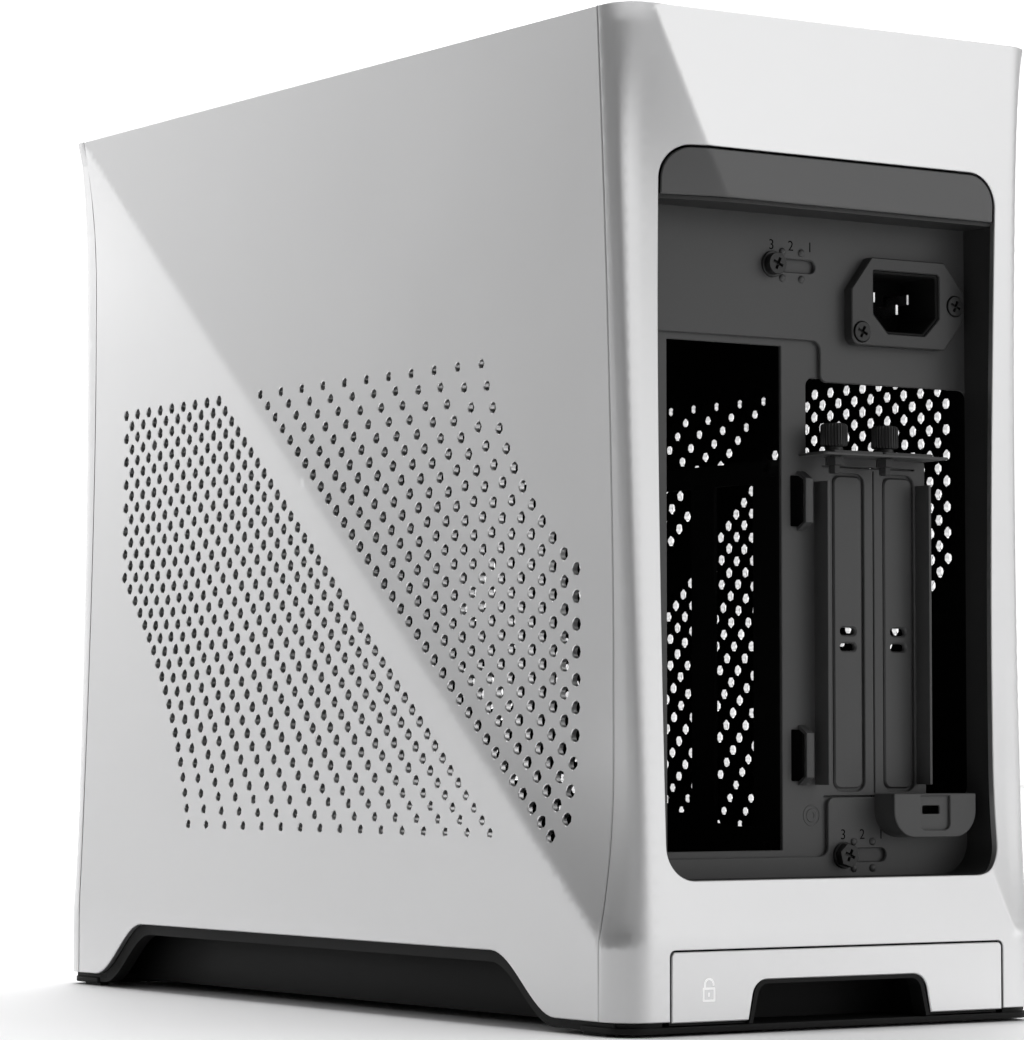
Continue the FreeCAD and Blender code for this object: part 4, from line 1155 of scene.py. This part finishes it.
def plinth():
    """The dark foot frame: an end plate and two corner pads at each end, and a skirt each side."""
    parts = []
    for sign in (-1, 1):
        parts.append(half_ring(sign, inset=1.6, low=PLINTH_LOW, high=PLINTH_MIDDLE, reach=24.0))
        for side in (-1, 1):
            x = sorted((side * 66.8, side * (HALF_WIDTH - 2.2)))
            y = sorted((sign * 152.0, sign * (HALF_LENGTH - 8.0)))
            parts.append(block("corner", (x[0], y[0], PLINTH_MIDDLE), (x[1], y[1], PLINTH_HIGH), 0.3))
    for side in (-1, 1):
        x = sorted((side * SKIRT_AT, side * (SKIRT_AT + 1.2)))
        low = (x[0], -SKIRT_HALF, PLINTH_MIDDLE - 0.4)
        parts.append(block("skirt", low, (x[1], SKIRT_HALF, SKIRT_TOP), 0.2))
    return join("plinth_piece", parts)


base = plinth()
coloured(base, DARK_PLINTH)
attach(base, BODY_OF["base_frame"])


# Parts inside the case; they all take the near-black inside material, painted shade.
UNSEEN_INSIDE = (
    "drive_bracket", "fan_frame_1", "fan_frame_2", "fan_rotor_1", "fan_rotor_2", "floor_plate",
    "front_wall", "inlet_lead", "inlet_plug", "io_board", "io_bracket", "psu_bracket",
    "radiator_bracket", "riser_board", "riser_slot", "side_rails", "spine_tray", "standoffs",
    "top_frame", "dust_filter_frame", "left_panel_clips", "right_panel_clips")
BASE_PARTS = ("base_frame", "tray_carrier")


def finish_of(node):
    # Inside parts take painted shade instead of their own finish.
    if node in UNSEEN_INSIDE:
        return INSIDE_PAINTED_SHADE
    return DARK_PLINTH if node in BASE_PARTS else SLOT_MATERIAL[SLOT_OF[node]]


def paint_inside_shade(piece, outward):
    """The faces that look into the case take the near-black inside material, painted shade."""
    piece.data.materials.append(INSIDE_PAINTED_SHADE)
    last = len(piece.data.materials) - 1
    for polygon in piece.data.polygons:
        if polygon.normal.x * outward < -0.8:
            polygon.material_index = last


paint_inside_shade(right_panel, 1)
paint_inside_shade(left_panel, -1)
for node, cad in frame["nodes"].items():
    cad.data.materials.clear()
    cad.data.materials.append(finish_of(node))


# ---- Floor, light and camera ----

def paper_floor():
    made = bmesh.new()
    bmesh.ops.create_grid(made, x_segments=8, y_segments=8, size=7.0)
    floor = bmesh_piece("floor", made)
    floor.data.materials.append(PAPER)


def direction_ramp(tree, value, lowest, highest, stops):
    """Grey levels looked up from one measure of the direction, and the node that gives them."""
    spread = tree.nodes.new("ShaderNodeMapRange")
    spread.inputs["From Min"].default_value = lowest
    spread.inputs["From Max"].default_value = highest
    tree.links.new(value, spread.inputs["Value"])
    ramp = tree.nodes.new("ShaderNodeValToRGB")
    fill_ramp(ramp, stops)
    tree.links.new(spread.outputs["Result"], ramp.inputs["Fac"])
    return ramp.outputs["Color"]


def room():
    """The studio's walls: a soft brightness that depends on compass angle and on height."""
    world = bpy.data.worlds.new("studio")
    bpy.context.scene.world = world
    world.use_nodes = True
    tree = world.node_tree
    nodes, links = tree.nodes, tree.links
    direction = nodes.new("ShaderNodeTexCoord")
    parts = nodes.new("ShaderNodeSeparateXYZ")
    links.new(direction.outputs["Generated"], parts.inputs["Vector"])
    angle = nodes.new("ShaderNodeMath")
    angle.operation = "ARCTAN2"
    links.new(parts.outputs["Y"], angle.inputs[0])
    links.new(parts.outputs["X"], angle.inputs[1])
    product = nodes.new("ShaderNodeMix")
    product.data_type = "RGBA"
    product.blend_type = "MULTIPLY"
    product.inputs["Factor"].default_value = 1.0
    links.new(direction_ramp(tree, angle.outputs["Value"], -math.pi, math.pi, ROOM),
              product.inputs["A"])
    links.new(direction_ramp(tree, parts.outputs["Z"], -1.0, 1.0, RISE), product.inputs["B"])
    links.new(product.outputs["Result"], nodes["Background"].inputs["Color"])
    nodes["Background"].inputs["Strength"].default_value = 1.0


def fill_ramp(node, stops):
    """Colour-ramp stops from rows of place and grey level."""
    ramp = node.color_ramp
    ramp.interpolation = "EASE"
    while len(ramp.elements) > 1:
        ramp.elements.remove(ramp.elements[-1])
    for index, (place, level) in enumerate(stops):
        element = ramp.elements[0] if index == 0 else ramp.elements.new(place)
        element.position = place
        element.color = (level, level, level, 1)


# How bright the studio is by compass angle in degrees from +X, then by the sine of the height.
ROOM = [((angle + 180) / 360, level) for angle, level in (
    (-180, 0.5), (-150, 0.6), (-137, 1.06), (-108, 1.06), (-95, 0.9), (-80, 1.45), (-66, 1.35),
    (-56, 0.22), (-46, 0.14), (-20, 0.16), (20, 0.14), (60, 0.1), (90, 0.28), (104, 0.74),
    (121, 0.95), (129, 1.28), (155, 0.85), (180, 0.5))]
RISE = [((sine + 1) / 2, level) for sine, level in (
    (0.0, 1.0), (0.25, 1.3), (0.7, 1.1), (1.0, 0.6))]


def spot_down(name, at, cone, power):
    """A narrow beam from straight above: it lights the floor and grazes the upright faces."""
    data = bpy.data.lights.new(name, "SPOT")
    data.spot_size = math.radians(cone)
    data.spot_blend = 0.6
    data.shadow_soft_size = 0.15
    data.energy = power
    placed(name, data).location = at


def area_light(name, at, aim, size, power, spin=0.0):
    data = bpy.data.lights.new(name, "AREA")
    data.shape = "RECTANGLE"
    data.size, data.size_y = size
    data.energy = power
    lamp = placed(name, data)
    lamp.location = at
    lamp.rotation_euler = (Vector(aim) - Vector(at)).to_track_quat("-Z", "Y").to_euler()
    lamp.rotation_euler.z += math.radians(spin)


# The camera looks along -Y after a turn about Z, and then upwards; its place is in metres.
LENS = 142.3
CAMERA_AT = (0.7887, 1.1971, 0.0858)
CAMERA_TURN = 146.688
CAMERA_PITCH = 3.233


def camera():
    data = bpy.data.cameras.new("camera")
    data.sensor_fit = "VERTICAL"
    data.sensor_height = 36.0
    data.lens = LENS
    data.clip_start = 0.01
    data.clip_end = 60.0
    eye = placed("camera", data)
    eye.location = CAMERA_AT
    turn, pitch = math.radians(CAMERA_TURN), math.radians(CAMERA_PITCH)
    ahead = Vector((-math.sin(turn) * math.cos(pitch), math.cos(turn) * math.cos(pitch),
                    math.sin(pitch)))
    eye.rotation_euler = ahead.to_track_quat("-Z", "Y").to_euler()
    bpy.context.scene.camera = eye


paper_floor()
area_light("overhead", at=(0.2, 0.0, 3.2), aim=(0, 0, 0), size=(3.0, 3.0), power=4.0)
area_light("backdrop_light", at=(-2.6, -3.95, 2.3), aim=(-2.6, -3.95, 0), size=(2.6, 7.6),
           power=150.0, spin=-33.3)
spot_down("floor_spot", at=(0.1, 0.12, 4.0), cone=13.5, power=215.0)
room()
bpy.context.scene.view_settings.view_transform = "Standard"
camera()
